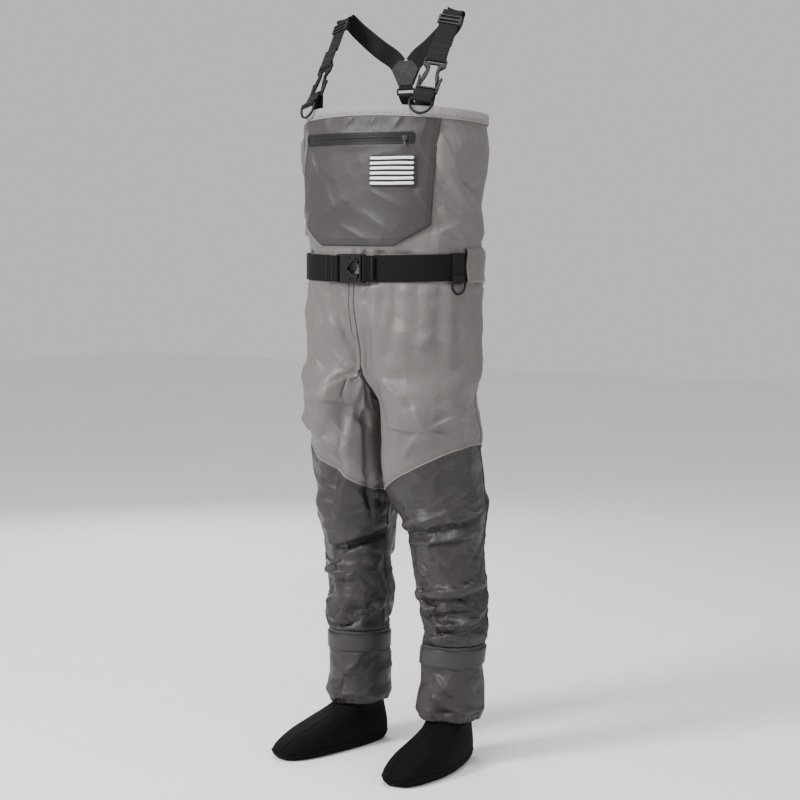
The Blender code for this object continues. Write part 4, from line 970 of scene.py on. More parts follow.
# start and end as distance round from the front centre and height, width, height, lean
POCKET_FOLDS = (
    ((0.112, 1.184), (0.150, 1.140), 0.0050, -0.0050, 0.5),
    ((0.118, 1.188), (0.154, 1.150), 0.0070, 0.0032, 0.3),
    ((-0.118, 1.178), (-0.086, 1.118), 0.0100, 0.0042, 0.4),
    ((-0.126, 1.180), (-0.146, 1.110), 0.0090, 0.0032, 0.3),
    ((-0.060, 1.232), (-0.085, 1.204), 0.0070, 0.0028, 0.3),
    ((0.000, 1.234), (-0.028, 1.206), 0.0090, 0.0030, 0.4),
    ((0.045, 1.234), (0.030, 1.206), 0.0080, 0.0026, 0.3),
    ((0.098, 1.234), (0.080, 1.206), 0.0070, 0.0028, 0.3),
    ((0.142, 1.224), (0.128, 1.176), 0.0080, 0.0026, 0.3),
    ((-0.080, 1.120), (-0.040, 1.060), 0.0120, 0.0020, 0.2),
    ((0.040, 1.095), (0.110, 1.058), 0.0120, 0.0034, 0.4),
    ((-0.020, 1.080), (-0.120, 1.020), 0.0120, 0.0022, 0.3),
    ((0.020, 1.058), (0.090, 1.010), 0.0100, 0.0020, 0.3),
    ((-0.110, 1.060), (-0.140, 1.030), 0.0100, 0.0030, 0.3),
    ((0.120, 1.110), (0.146, 1.060), 0.0120, 0.0030, -0.3),
    ((-0.030, 1.030), (0.030, 1.004), 0.0120, 0.0026, 0.3),
)


def beyond(distance, z, centre, size):
    """Square of how far places lie outside a rectangle."""
    aside = np.maximum(np.abs(distance - centre[0]) - size[0] / 2, 0) ** 2
    return aside + np.maximum(np.abs(z - centre[1]) - size[1] / 2, 0) ** 2


def pocket_skin(distance, z):
    """Height of the pocket's face above the torso: creases, and a rise to the zip."""
    flat = POCKET_STANDOFF + POCKET_WALL
    out = flat + 0.0008 * wave_noise(distance, z, 0.09, 33)
    for a, b, width, height, lean in POCKET_FOLDS:
        out = out + stroke(distance, z, a, b, width, height, lean)
    zip_rise = np.exp(-beyond(distance, z, (0.0, ZIP_HEIGHT), (2 * ZIP_HALF, ZIP_TALL)) / 0.010**2)
    patch_flat = np.exp(-beyond(distance, z, PATCH_CENTRE, PATCH_SIZE) / 0.008**2)
    out = np.where(out > flat, out, flat - 0.0012 * np.tanh((flat - out) / 0.0012))
    radius, centre = zip_arc()
    reach = np.linspace(-0.17, 0.17, 41)
    plain = np.array([around(abs(d), ZIP_HEIGHT) for d in reach])
    to_film = radius + flat + 0.0024 - np.hypot(plain[:, 0], plain[:, 1] - centre)
    out = out * (1 - zip_rise) + np.interp(distance, reach, to_film) * zip_rise
    return out * (1 - patch_flat) + (flat + 0.0006) * patch_flat


def torso_smooth(distance, z, out):
    """Point of the undraped torso, with its outward direction."""
    points, normals = [], []
    for d, h, o in zip(np.ravel(distance), np.ravel(z), np.ravel(np.broadcast_to(out, np.shape(distance)))):
        angle = angle_at(float(d), float(h))
        points.append(torso_point(angle, float(h), float(o)))
        ahead = torso_point(angle + 0.01, float(h))
        tangent = ahead - torso_point(angle - 0.01, float(h))
        normal = np.array((tangent[1], -tangent[0], 0.0))
        normals.append(normal / np.linalg.norm(normal))
    return np.array(points), np.array(normals)


def make_pocket():
    rows, columns = 92, 118
    u, v = np.meshgrid(np.linspace(0, 1, columns), np.linspace(0, 1, rows))
    distance, z = pocket_outline(u, v)
    edge = np.minimum(np.minimum(u, 1 - u) * 0.30, (1 - v) * 0.25)
    groove = 0.0010 * np.exp(-(((edge - 0.0045) / 0.0012) ** 2))
    out = pocket_skin(distance, z) - groove - 0.0008 * np.exp(-edge / 0.001)
    points, normals = torso_smooth(distance, z, out)
    uvs = np.stack((distance.ravel(), z.ravel()), axis=1)
    faces = grid_faces(rows, columns, False)
    item = piece("chest_pocket_panel", points, faces, pocket_fabric, nodes=("chest_pocket",), uvs=uvs)
    thick(item, WALL)
    for name, inset_by in (("pocket_edge_stitch", 0.0045), ("pocket_edge_stitch_inner", 0.0100)):
        du, dv = inset_by / 0.315, inset_by / 0.245
        track = [(du, t) for t in np.linspace(0.005, 1 - dv, 150)]
        track += [(t, 1 - dv) for t in np.linspace(du, 1 - du, 90)]
        track += [(1 - du, t) for t in np.linspace(1 - dv, 0.005, 150)]
        track = np.array(track)
        d, h = pocket_outline(track[:, 0], track[:, 1])
        path, normals = torso_smooth(d, h, pocket_skin(d, h) + 0.0001)
        stitches(name, path, normals, thread_dark, radius=0.0004)
    edges = [(1.0, t) for t in np.linspace(0.004, 1, 120)]
    edges += [(t, 1.0) for t in np.linspace(1, 0, 70)]
    edges += [(0.0, t) for t in np.linspace(1, 0.004, 120)]
    edges = np.array(edges)
    d, h = pocket_outline(edges[:, 0], edges[:, 1])
    path, _ = torso_smooth(d, h, pocket_skin(d, h) - 0.0014)
    tube("pocket_edge_binding", path, 0.0011, binding)


def zip_arc():
    front, end = around(0.0, ZIP_HEIGHT), around(ZIP_HALF, ZIP_HEIGHT)
    rise = end[1] - front[1]
    radius = (end[0] ** 2 + rise**2) / (2 * rise)
    return radius, front[1] + radius


def make_zip_details():
    """Welded edge beads of the surround and the lips of the two tapes, standing on the CAD film."""
    radius, centre = zip_arc()
    skin = POCKET_STANDOFF + POCKET_WALL + 0.0030

    def at(x, y, lift):
        r = radius + skin + lift
        return (r * math.sin(x / radius), centre - r * math.cos(x / radius), ZIP_HEIGHT + y)

    reach = ZIP_HALF - 0.0060
    xs = np.linspace(-reach, reach, 160)
    tube("zip_lip_upper", [at(x, 0.0019, 0.0010) for x in xs], 0.00050, zip_tape)
    tube("zip_lip_lower", [at(x, -0.0019, 0.0010) for x in xs], 0.00050, zip_tape)
    half, tall, bend = ZIP_HALF - 0.0016, ZIP_TALL / 2 - 0.0016, 0.003
    straight = np.linspace(-half + bend, half - bend, 90)
    loop = [at(x, tall, 0.0012) for x in straight]
    for a in np.radians(np.linspace(90, -90, 9)[1:-1]):
        loop.append(at(half - bend + bend * math.cos(a), tall * math.sin(a), 0.0012))
    loop += [at(x, -tall, 0.0012) for x in straight[::-1]]
    for a in np.radians(np.linspace(-90, -270, 9)[1:-1]):
        loop.append(at(-half + bend + bend * math.cos(a), tall * math.sin(a), 0.0012))
    tube("zip_surround_bead", loop, 0.00055, zip_film, closed=True)


def make_fly_patch():
    """Rounded foam base and six foam ribs."""
    centre, height = PATCH_CENTRE
    wide, tall = PATCH_SIZE
    skin = POCKET_STANDOFF + POCKET_WALL + 0.0007
    rows, columns = 34, 46
    u, v = np.meshgrid(np.linspace(-1, 1, columns), np.linspace(1, -1, rows))
    corner = 0.16
    x = u * np.sqrt(1 - corner * v**8 * 0.5) * wide / 2
    z = v * np.sqrt(1 - corner * u**8 * 0.5) * tall / 2
    edge = np.minimum(wide / 2 * (1 - np.abs(u)), tall / 2 * (1 - np.abs(v)))
    round_off = np.sqrt(np.clip(1 - (1 - np.clip(edge / 0.003, 0, 1)) ** 2, 0, 1))
    wave = 0.0008 * wave_noise(x, z, 0.05, 77)
    out = skin + (PATCH_THICK + 0.0002) * round_off + wave * round_off
    points, _ = torso_smooth(centre + x, height + z, out)
    back, _ = torso_smooth(centre + x, height + z, skin - 0.0004 + 0 * x)
    count = rows * columns
    faces = grid_faces(rows, columns, False)
    faces += [[i + count for i in reversed(f)] for f in faces]
    rim = list(range(columns)) + [r * columns + columns - 1 for r in range(1, rows)]
    rim += [(rows - 1) * columns + c for c in range(columns - 2, -1, -1)]
    rim += [r * columns for r in range(rows - 2, 0, -1)]
    faces += [[a, b, b + count, a + count] for a, b in zip(rim, rim[1:] + rim[:1])]
    base = piece("fly_patch_foam", np.vstack((points, back)), faces, foam_black, nodes=("fly_patch_base",))
    first = height + RIB_PITCH * (RIBS - 1) / 2
    for i in range(RIBS):
        mid = first - i * RIB_PITCH
        length, around_by = 48, 12
        points = []
        for k in range(length):
            s = -1 + 2 * k / (length - 1)
            end = math.sqrt(max(0.0, 1 - max(0.0, (abs(s) - 0.955) / 0.045) ** 2))
            sag = 0.00025 * math.sin(3.1 * s + i)
            for a in range(around_by):
                turn = 2 * math.pi * a / around_by
                swell = math.copysign(abs(math.sin(turn)) ** 0.8, math.sin(turn)) * end
                rise = (RIB_TALL / 2) * math.copysign(abs(math.cos(turn)) ** 0.7, math.cos(turn))
                place = (centre + s * (wide / 2 - 0.0030), mid + rise * max(end, 0.05) + sag)
                points.append((*place, skin + PATCH_THICK + 0.0009 + 0.0019 * swell))
        placed, _ = torso_smooth(*np.array(points).T)
        faces = sweep_faces(length, around_by)
        node_name = f"fly_patch_rib_{i + 1}"
        rib = piece(f"fly_rib_{i + 1}_foam", placed, faces, foam_white, nodes=(node_name,), crease=180)


# ---- Legs ----
# start and end as turn in degrees from the inner thigh round the front, and level; width, height, lean
LEG_FOLDS = {
    1: (
        ((125, 0.640), (105, 0.690), 0.012, 0.0070, 0.3), ((125, 0.640), (118, 0.700), 0.010, 0.0060, 0.3),
        ((125, 0.640), (165, 0.665), 0.012, 0.0070, 0.4), ((125, 0.640), (155, 0.590), 0.012, 0.0060, 0.3),
        ((122, 0.640), (80, 0.665), 0.012, 0.0070, 0.4), ((120, 0.640), (95, 0.600), 0.012, 0.0060, -0.3),
        ((128, 0.830), (122, 0.800), 0.010, 0.0060, 0.3), ((85, 0.740), (110, 0.705), 0.013, 0.0050, 0.3),
        ((150, 0.760), (180, 0.720), 0.018, 0.0055, 0.3), ((145, 0.700), (175, 0.655), 0.016, 0.0050, 0.3),
        ((35, 0.450), (185, 0.478), 0.010, -0.0110, 0.4), ((30, 0.470), (190, 0.500), 0.014, 0.0090, 0.5),
        ((45, 0.430), (170, 0.455), 0.014, 0.0090, -0.4), ((60, 0.480), (140, 0.512), 0.010, 0.0060, 0.4),
        ((190, 0.478), (215, 0.500), 0.012, 0.0060, 0.2), ((70, 0.420), (75, 0.370), 0.020, 0.0050, 0.0),
        ((55, 0.322), (200, 0.345), 0.009, -0.0110, 0.4), ((50, 0.338), (195, 0.362), 0.013, 0.0090, 0.5),
        ((70, 0.305), (160, 0.322), 0.010, 0.0100, -0.5), ((75, 0.290), (130, 0.306), 0.008, -0.0080, 0.4),
        ((80, 0.275), (170, 0.292), 0.010, 0.0090, 0.5), ((85, 0.258), (190, 0.285), 0.009, -0.0070, 0.4),
        ((70, 0.248), (140, 0.262), 0.009, 0.0070, 0.4), ((150, 0.262), (205, 0.250), 0.010, 0.0060, 0.3),
        ((50, 0.345), (80, 0.300), 0.012, 0.0070, 0.3), ((260, 0.470), (340, 0.450), 0.012, -0.0090, 0.3),
        ((230, 0.440), (330, 0.420), 0.014, 0.0080, 0.3), ((240, 0.340), (340, 0.320), 0.012, 0.0080, 0.3),
    ),
    -1: (
        ((105, 0.706), (25, 0.688), 0.013, 0.0090, 0.5), ((60, 0.672), (25, 0.662), 0.010, -0.0080, 0.4),
        ((120, 0.700), (62, 0.640), 0.014, 0.0080, 0.4), ((110, 0.626), (40, 0.606), 0.014, 0.0090, 0.5),
        ((100, 0.618), (75, 0.590), 0.010, 0.0070, 0.4), ((45, 0.580), (10, 0.592), 0.011, 0.0080, 0.3),
        ((30, 0.740), (20, 0.690), 0.012, 0.0060, 0.3), ((40, 0.840), (28, 0.780), 0.010, 0.0070, 0.3),
        ((38, 0.800), (20, 0.790), 0.008, -0.0060, 0.3), ((130, 0.780), (140, 0.720), 0.018, 0.0060, 0.3),
        ((150, 0.660), (120, 0.620), 0.014, 0.0070, 0.3),
        ((125, 0.468), (45, 0.474), 0.011, 0.0080, 0.5), ((120, 0.450), (60, 0.440), 0.012, 0.0070, 0.4),
        ((130, 0.496), (100, 0.470), 0.012, 0.0060, 0.3), ((100, 0.395), (5, 0.432), 0.010, -0.0140, 0.6),
        ((110, 0.412), (0, 0.452), 0.017, 0.0130, 0.5), ((120, 0.372), (10, 0.384), 0.011, 0.0110, -0.5),
        ((150, 0.380), (60, 0.356), 0.009, -0.0110, 0.4), ((140, 0.360), (50, 0.345), 0.013, 0.0100, 0.4),
        ((95, 0.340), (85, 0.280), 0.012, 0.0060, 0.3), ((20, 0.330), (0, 0.300), 0.012, 0.0070, 0.3),
        ((45, 0.290), (10, 0.310), 0.011, -0.0070, 0.3), ((60, 0.272), (5, 0.292), 0.011, 0.0080, 0.4),
        ((120, 0.262), (60, 0.256), 0.010, 0.0070, 0.4), ((130, 0.300), (110, 0.265), 0.012, 0.0060, 0.3),
        ((200, 0.400), (300, 0.420), 0.013, 0.0090, 0.3), ((210, 0.370), (320, 0.380), 0.011, -0.0090, 0.3),
        ((180, 0.330), (300, 0.350), 0.013, 0.0090, 0.3),
    ),
}


def leg_levels():
    top, low = WAIST - GAP, 0.235
    share = np.linspace(0, 1, LEG_ROWS)
    levels = top + (low - top) * share
    nearest = int(np.argmin(np.abs(levels - CHEVRON)))
    levels[nearest] = CHEVRON
    return levels, nearest


def round_leg(turn):
    """Distance round the unrolled leg, from the turn that faces the camera."""
    return (turn - FRONT_TURN) * math.pi / 180 * LEG_RADIUS


def cut_open(faces, level, columns, corner):
    """Faces of a leg without those between the two hip panels, above the crotch."""
    kept = []
    for f in faces:
        inner = all(min(i % columns, columns - i % columns) <= corner for i in f)
        if not (inner and level[min(f)] > CROTCH):
            kept.append(f)
    return kept


def keep_apart(moved, base, level, side):
    """Move a leg's cloth clear of the other leg's."""
    clear = 0.0006 + 0.004 * ease((CROTCH - level) / 0.05)
    held = side * np.minimum(clear, np.maximum(side * base[:, 0], 0.0004))
    moved[:, 0] = np.where(side * moved[:, 0] < clear, held, moved[:, 0])


def leg_relief(x, level, side):
    """Facets, named folds and tucks of a leg, as heights over the draped cloth."""
    hip = 0.0058 * facets(x, level, LEG_GIRTH, 0.080, 0.070, 30 + side, 0.6 * side)
    hip = hip + 0.0014 * facets(x, level, LEG_GIRTH, 0.030, 0.026, 40 + side)
    low = 0.0050 * facets(x, level, LEG_GIRTH, 0.090, 0.040, 34 + side, -0.5 * side)
    low = low + 0.0016 * facets(x, level, LEG_GIRTH, 0.032, 0.020, 44 + side)
    share = ease((0.59 - level) / 0.04)
    relief = hip * (1 - share) + low * share
    for wrap in (0, 360):
        for (t0, z0), (t1, z1), width, height, lean in LEG_FOLDS[side]:
            a, b = (round_leg(t0 + wrap), z0), (round_leg(t1 + wrap), z1)
            relief += stroke(x, level, a, b, width * 1.15, height * 1.45, min(RIDGE_LIMIT, lean * 1.6))
    tuck = np.abs(np.sin(x * 74 + 1.5 * np.sin(x * 27) + side)) * np.exp(-np.abs(level - 0.920) / 0.022)
    return relief + 0.0065 * tuck * (0.5 + 0.5 * np.sin(x * 19 + side))


def make_leg(name, side):
    levels, split = leg_levels()
    base = np.array([p for level in levels for p in leg_ring(side, float(level))])
    faces = grid_faces(LEG_ROWS, LEG_COLUMNS, True, side < 0)
    column = np.tile(np.arange(LEG_COLUMNS), LEG_ROWS)
    level = np.repeat(levels, LEG_COLUMNS)
    inner = (column < CORNER) | (column > LEG_COLUMNS - CORNER)
    normals = vertex_normals(base, faces)
    x = round_leg(360.0 * column / LEG_COLUMNS)
    seed = 0.0030 * wave_noise(x, level, 0.12, 50 + side)
    pleat = np.sin(x * 150 + 2.0 * np.sin(x * 31) + side) * np.exp(-np.abs(level - 0.912) / 0.028)
    seed += 0.0012 * pleat
    from_seam = np.minimum(np.abs(column - CORNER), np.abs(column - LEG_COLUMNS + CORNER))
    seam = ease((level - CROTCH + 0.03) / 0.03) * np.exp(-from_seam / 1.5)
    free = ease((0.926 - level) / 0.02) * (1 - seam) * ease((level - 0.232) / 0.015)
    free = np.where(inner & (level > CROTCH), 0.0, free)
    moved = base + normals * (seed * free)[:, None]
    keep, small = subset(cut_open(faces, level, LEG_COLUMNS, CORNER))
    pinned = np.clip(1 - free * 1.3, 0, 1)[keep]
    slack = (np.clip(0.35 + 0.65 * ease((0.60 - level) / 0.10), 0, 1) * free)[keep]
    body = (base - normals * 0.010)[keep]
    moved[keep] = drape(f"{name}_leg_drape", moved[keep], small, pinned, slack, body, small, 30, 0.016)
    moved = limited(base, moved, normals, 0.004 + 0.016 * free, 0.0135 * free + 0.0008)
    keep_apart(moved, base, level, side)
    rows, columns = (LEG_ROWS - 1) * FINE + 1, LEG_COLUMNS * FINE
    moved, base = refined(moved, LEG_ROWS, LEG_COLUMNS), refined(base, LEG_ROWS, LEG_COLUMNS)
    free, level = refined(np.stack((free, level), axis=1), LEG_ROWS, LEG_COLUMNS).T
    faces = grid_faces(rows, columns, True, side < 0)
    x = round_leg(np.tile(360.0 * np.arange(columns) / columns, rows))
    relief = leg_relief(x, level, side)
    normals = vertex_normals(moved, faces)
    moved = moved + normals * (relief * np.clip(free, 0, 1))[:, None]
    moved = limited(base, moved, normals, 0.004 + 0.018 * free, 0.0135 * free + 0.0008)
    column = np.tile(np.arange(columns) / FINE, rows)
    from_seam = np.minimum(np.abs(column - CORNER), np.abs(column - CORNER - LEG_COLUMNS)) / VALLEY_COLUMNS
    valley = VALLEY_DEPTH * ease((0.900 - level) / 0.120) * ease((level - 0.600) / 0.120)
    moved[:, 1] += valley * np.exp(-(from_seam**2))
    keep_apart(moved, base, level, side)
    panel = Panel(moved, rows, columns, vertex_normals(moved, faces))
    uvs = np.stack((x, level), axis=1)
    used = cut_open(faces, level, columns, CORNER * FINE)
    for part, first, last, look in (
        ("hip_panel", 0, split * FINE, shell), ("lower_leg", split * FINE, rows - 1, leg_fabric)
    ):
        low, high = first * columns, (last + 1) * columns
        keep, chosen = subset([f for f in used if min(f) >= low and max(f) < high])
        node_name = f"{name}_{part}"
        item = piece(f"{node_name}_cloth", moved[keep], chosen, look, nodes=(node_name,), uvs=uvs[keep])
        thick(item, WALL, 0)
    return panel, split


def leg_seams(name, side, panel, split):
    """Piping at the chevron, and the outer and inner leg seams."""
    columns = np.arange(0, LEG_COLUMNS, 0.5)
    tube(f"{name}_chevron_piping", panel.read(split, columns, 0.0004)[0], 0.0009, piping_pale, closed=True)
    low, _ = panel.read(split + 0.35, columns, 0.0003)
    tube(f"{name}_chevron_shadow", low, 0.0008, seam_dark, closed=True)
    stitches(f"{name}_chevron_stitch", *panel.read(split - 0.75, columns, 0.0003), thread_grey)
    rows = np.arange(3, LEG_ROWS - 1, 0.5)
    path, normals = panel.read(rows, LEG_COLUMNS * (0.555 if side > 0 else 0.52), 0.0002)
    cut = int(np.searchsorted(rows, split))
    tube(f"{name}_outseam_hip", path[:cut], 0.0009, seam_light, flat=1.6)
    tube(f"{name}_outseam_leg", path[cut:], 0.0009, leg_fabric, flat=1.6)
    stitches(f"{name}_outseam_stitch", path, normals, thread_grey, lift=0.0009)
    path, _ = panel.read(np.arange(int(LEG_ROWS * 0.34), LEG_ROWS - 1, 0.5), 0.0, 0.0002)
    tube(f"{name}_inseam", path, 0.0009, leg_fabric, flat=1.6)


def centre_seam(panel):
    """Flat-felled seam down the front and back of the hips, with a dark tube along its edge as painted seam
    shadow.
    """
    rows = np.arange(2.0, 24.0, 0.5)
    for name, column, step in (("front", CORNER, 1), ("back", LEG_COLUMNS - CORNER, -1)):
        edge, _ = panel.read(rows, column, 0.0004)
        # Dark tube along the seam's edge: painted shadow of the fold.
        tube(f"centre_seam_{name}", edge, 0.0010, seam_dark)
        far, normals = panel.read(rows, column + step * 1.6, 0.0005)
        tube(f"centre_seam_{name}_fell", far, 0.0008, seam_light)
        stitches(f"centre_seam_{name}_stitch", far, normals, thread_grey, lift=0.0008)


# ---- Cuffs and feet ----
# turn in degrees from the front towards the wearer's left, and height
GUARD_FOLDS = {
    1: (
        ((0, 0.180), (40, 0.140), 0.009, 0.0060, 0.4), ((-30, 0.150), (30, 0.128), 0.008, 0.0060, 0.4),
        ((60, 0.170), (100, 0.120), 0.010, 0.0050, 0.3), ((20, 0.120), (80, 0.105), 0.008, 0.0050, 0.4),
        ((-60, 0.160), (-20, 0.120), 0.010, 0.0060, 0.3), ((118, 0.185), (128, 0.110), 0.004, -0.0110, 0.3),
        ((170, 0.160), (220, 0.120), 0.010, 0.0050, 0.3), ((0, 0.105), (45, 0.112), 0.007, -0.0040, 0.3),
    ),
    -1: (
        ((40, 0.178), (10, 0.150), 0.008, 0.0060, 0.4), ((0, 0.182), (-25, 0.160), 0.009, 0.0060, 0.4),
        ((-40, 0.140), (10, 0.136), 0.009, 0.0060, 0.4), ((20, 0.130), (60, 0.120), 0.009, 0.0050, 0.3),
        ((-60, 0.170), (-50, 0.120), 0.010, 0.0060, 0.3), ((10, 0.150), (0, 0.110), 0.006, -0.0040, 0.3),
        ((200, 0.170), (240, 0.120), 0.010, 0.0050, 0.3), ((120, 0.160), (160, 0.120), 0.010, 0.0050, 0.3),
    ),
}


def cuff_sheet(name, node_name, rings, levels, x, look, depth):
    """Cloth round a cuff, from its rings and their heights."""
    uvs = np.stack((np.tile(x, len(levels)), np.repeat(levels, len(x))), axis=1)
    faces = grid_faces(len(levels), len(x), True)
    thick(piece(name, np.vstack(rings), faces, look, nodes=(node_name,), uvs=uvs), depth)


def make_cuffs(name, side):
    columns = 132
    turn = 2 * np.pi * np.arange(columns) / columns
    x = turn * CUFF_RADIUS
    bottom = BAND_TOP - BAND_HEIGHT
    girth = 2 * math.pi * CUFF_RADIUS
    # Guard: soft creases, drawn in by the elastic at its lower edge.
    levels = np.concatenate((np.linspace(0.2340, 0.196, 6), np.linspace(0.190, GUARD_BOTTOM, 30)))
    rings = []
    for z in levels:
        free = float(ease((0.196 - z) / 0.012))
        low = float(ease((GUARD_BOTTOM + 0.020 - z) / 0.020))
        level = np.full(columns, z)
        fold = 0.0060 * facets(x, level, girth, 0.055, 0.036, 80 + side, 0.3 * side, (GUARD_BOTTOM, 0.24))
        for (t0, z0), (t1, z1), width, height, lean in GUARD_FOLDS[side]:
            start, end = (math.radians(t0) * CUFF_RADIUS, z0), (math.radians(t1) * CUFF_RADIUS, z1)
            fold = fold + stroke(x, level, start, end, width, height, lean)
        gather = np.sin(x * 420 + 2 * np.sin(x * 90)) * low
        out = 0.0012 + 0.0030 * float(ease((0.190 - z) / 0.06)) + fold * free * (1 - 0.6 * low)
        ring = cuff_ring(side, float(z), out + 0.0012 * gather - 0.0062 * low, columns)
        ring[:, 2] += 0.0022 * np.sin(turn * 2 + side) * low + 0.0014 * np.sin(turn * 5) * low
        rings.append(ring)
    cuff_sheet(f"{name}_gravel_guard_cloth", f"{name}_gravel_guard", rings, levels, x, leg_fabric, WALL)
    hem = cuff_ring(side, GUARD_BOTTOM + 0.0115, 0.0002 + 0.0008 * np.sin(x * 420), columns)
    tube(f"{name}_guard_hem_seam", hem, 0.0006, seam_dark, closed=True)
    # Band over the seam above the guard.
    levels = np.linspace(BAND_TOP, bottom, 9)
    wobble = 0.0009 * np.sin(turn * 3 + side * 2) + 0.0005 * np.sin(turn * 7)
    rings = []
    for i, z in enumerate(levels):
        roll = -0.0010 if i in (0, len(levels) - 1) else 0.0
        soft = 0.0005 * wave_noise(x, np.full(columns, z), 0.06, 70 + side)
        ring = cuff_ring(side, float(z), 0.0041 + roll + soft, columns)
        ring[:, 2] += wobble
        rings.append(ring)
    cuff_sheet(f"{name}_band_cloth", f"{name}_gaiter_band", rings, levels, x, band_fabric, 0.0010)
    for edge, z in (("top", BAND_TOP - 0.0028), ("low", bottom + 0.0028)):
        ring = cuff_ring(side, z, 0.0043, columns)
        ring[:, 2] += wobble
        closed = np.vstack((ring, ring[:1]))
        stitches(f"{name}_band_stitch_{edge}", closed, closed - ring.mean(axis=0), thread_dark)
    # Leg end inside the guard, on the neoprene shaft.
    rows = ((0.2350, -0.0020), (0.215, -0.0036), (0.200, -0.0054), (0.183, -0.0090), (LEG_END, -0.0126))
    points = np.vstack([cuff_ring(side, z, out + 0.0003 * np.sin(x * 200), columns) for z, out in rows])
    faces = grid_faces(len(rows), columns, True)
    liner = f"{name}_ankle_liner"
    thick(piece(f"{liner}_cloth", points, faces, leg_fabric, nodes=(liner,)), WALL)
    # Gathered elastic inside the lower edge.
    levels = np.linspace(GUARD_BOTTOM + 0.010, GUARD_BOTTOM - 0.0045, 9)
    rings = []
    for z, share in zip(levels, np.linspace(0, 1, 9)):
        gather = 0.0016 * np.sin(x * 640 + 1.5 * np.sin(x * 110)) * (0.3 + share)
        rings.append(cuff_ring(side, float(z), -0.0072 - 0.0025 * share + gather, columns))
    cuff_sheet(f"{name}_guard_elastic_ruffle", f"{name}_guard_elastic", rings, levels, x, elastic, 0.0009)


def make_sock(name, side):
    """Neoprene foot: smooth shell with glued seams round the sole and over the toe."""
    columns = 72
    shaft, foot = np.linspace(0.1657, 0.090, 16), np.linspace(0.086, 0.008, 26)
    levels = np.concatenate((shaft, foot, (0.0035, 0.0010, 0.0)))
    rings = []
    for z in levels:
        ring = np.array(sock_ring(side, float(z), columns))
        wrinkle = float(ease((z - 0.075) / 0.02)) * float(ease((0.130 - z) / 0.02))
        wrinkle = 0.0009 * np.sin(z * 420 + 1.2 * side) * wrinkle
        ring[:, :2] += (ring[:, :2] - ring.mean(axis=0)[:2]) / 0.05 * wrinkle
        rings.append(ring)
    sole = rings[-1]
    centre = sole.mean(axis=0)
    rings += [centre + (sole - centre) * share for share in (0.7, 0.4, 0.15)]
    points = np.vstack(rings)
    faces = grid_faces(len(rings), columns, True, True)
    faces.append([(len(rings) - 1) * columns + c for c in range(columns)])
    walked = np.tile(np.arange(columns) / columns * 0.55, len(rings))
    uvs = np.stack((walked, points[:, 2] * 1.6), axis=1)
    node_name = f"{name}_stocking_foot"
    foot = piece(f"{name}_foot_neoprene", points, faces, neoprene, nodes=(node_name,), uvs=uvs, crease=180)
    thick(foot, 0.0035)
    ring = np.array(sock_ring(side, 0.016, 96))
    ring[:, :2] += (ring[:, :2] - ring.mean(axis=0)[:2]) * 0.002
    tube(f"{name}_foot_sole_seam", ring, 0.0011, neoprene, closed=True)
    arch = []
    for level in np.linspace(0.0745, 0.0160, 30):
        ring = np.array(sock_ring(side, float(level), 144))
        arch.append(ring[int(np.argmin(ring[:, 1]))])
    tube(f"{name}_foot_instep_seam", arch, 0.0006, neoprene)


# ---- Belt ----
def belt_point(angle, out):
    slack = float(ease((abs(angle) - math.radians(120)) / math.radians(25)))
    z = BELT_HEIGHT - 0.004 * math.cos(angle) - 0.008 * slack
    return torso_point(angle, z, BELT_STANDOFF + out + 0.004 * slack)


def make_belt():
    start = angle_at(0.0462, BELT_HEIGHT)  # meets the fixed loop's end
    end = 2 * math.pi - angle_at(0.057, BELT_HEIGHT)
    path, ups = [], []
    for angle in np.linspace(start, end, 260):
        signed = math.remainder(float(angle), 2 * math.pi)
        here = belt_point(signed, BELT_THICK / 2)
        tangent = belt_point(math.remainder(signed + 0.01, 2 * math.pi), BELT_THICK / 2) - here
        path.append(here)
        ups.append((tangent[1], -tangent[0], 0.0))
    name, nodes = "wading_belt_webbing", ("wading_belt",)
    ribbon(name, path, unit(np.array(ups)), BELT_WIDE, BELT_THICK - 0.0003, belt_webbing, nodes=nodes)


def axes_frame(origin, x_axis, y_axis):
    """Origin, and x and y axes made square to each other."""
    x = unit(np.array(x_axis, float))
    z = unit(np.cross(x, np.array(y_axis, float)))
    return np.array(origin, float), x, np.cross(z, x)


def fold_loop(name, bar, half_bar, length, tail, wide, look, body, node_name):
    """Webbing that runs out along x, round the bar and back, sewn to itself."""
    origin, x, y = bar
    side, depth = 0.0027, 0.0014
    deep = half_bar + 0.0010
    level_in, level_out = tail + depth * 0.55, tail + depth * 1.55
    knots = (
        (length, level_in), (length * 0.7, level_in), (0.0105, level_in), (0.0055, (level_in - deep) * 0.45),
        (side * 0.6, -deep), (-side * 0.75, -deep * 0.80), (-side, 0.0), (-side * 0.75, deep * 0.80),
        (side * 0.6, deep), (0.0060, (level_out + deep) * 0.5), (0.0110, level_out),
        (length * 0.7, level_out), (length - 0.0012, level_out),
    )
    folded(name, bar, knots, wide, depth * 0.92, look, body, node_name)
    across = [np.cross(x, y) * w for w in np.linspace(-wide / 2 + 0.002, wide / 2 - 0.002, 24)]
    for k, share in enumerate((0.42, 0.80)):
        row = [origin + x * length * share + y * (level_out + depth * 0.46) + w for w in across]
        stitches(f"{name}_bartack_{k}", row, [y] * len(row), thread_dark, body, 0.0022, 0.0008, 0.00045)


def rib_path(name, knots, radius, body):
    tube(name, smooth_path(knots, 6), radius, plastic, body)


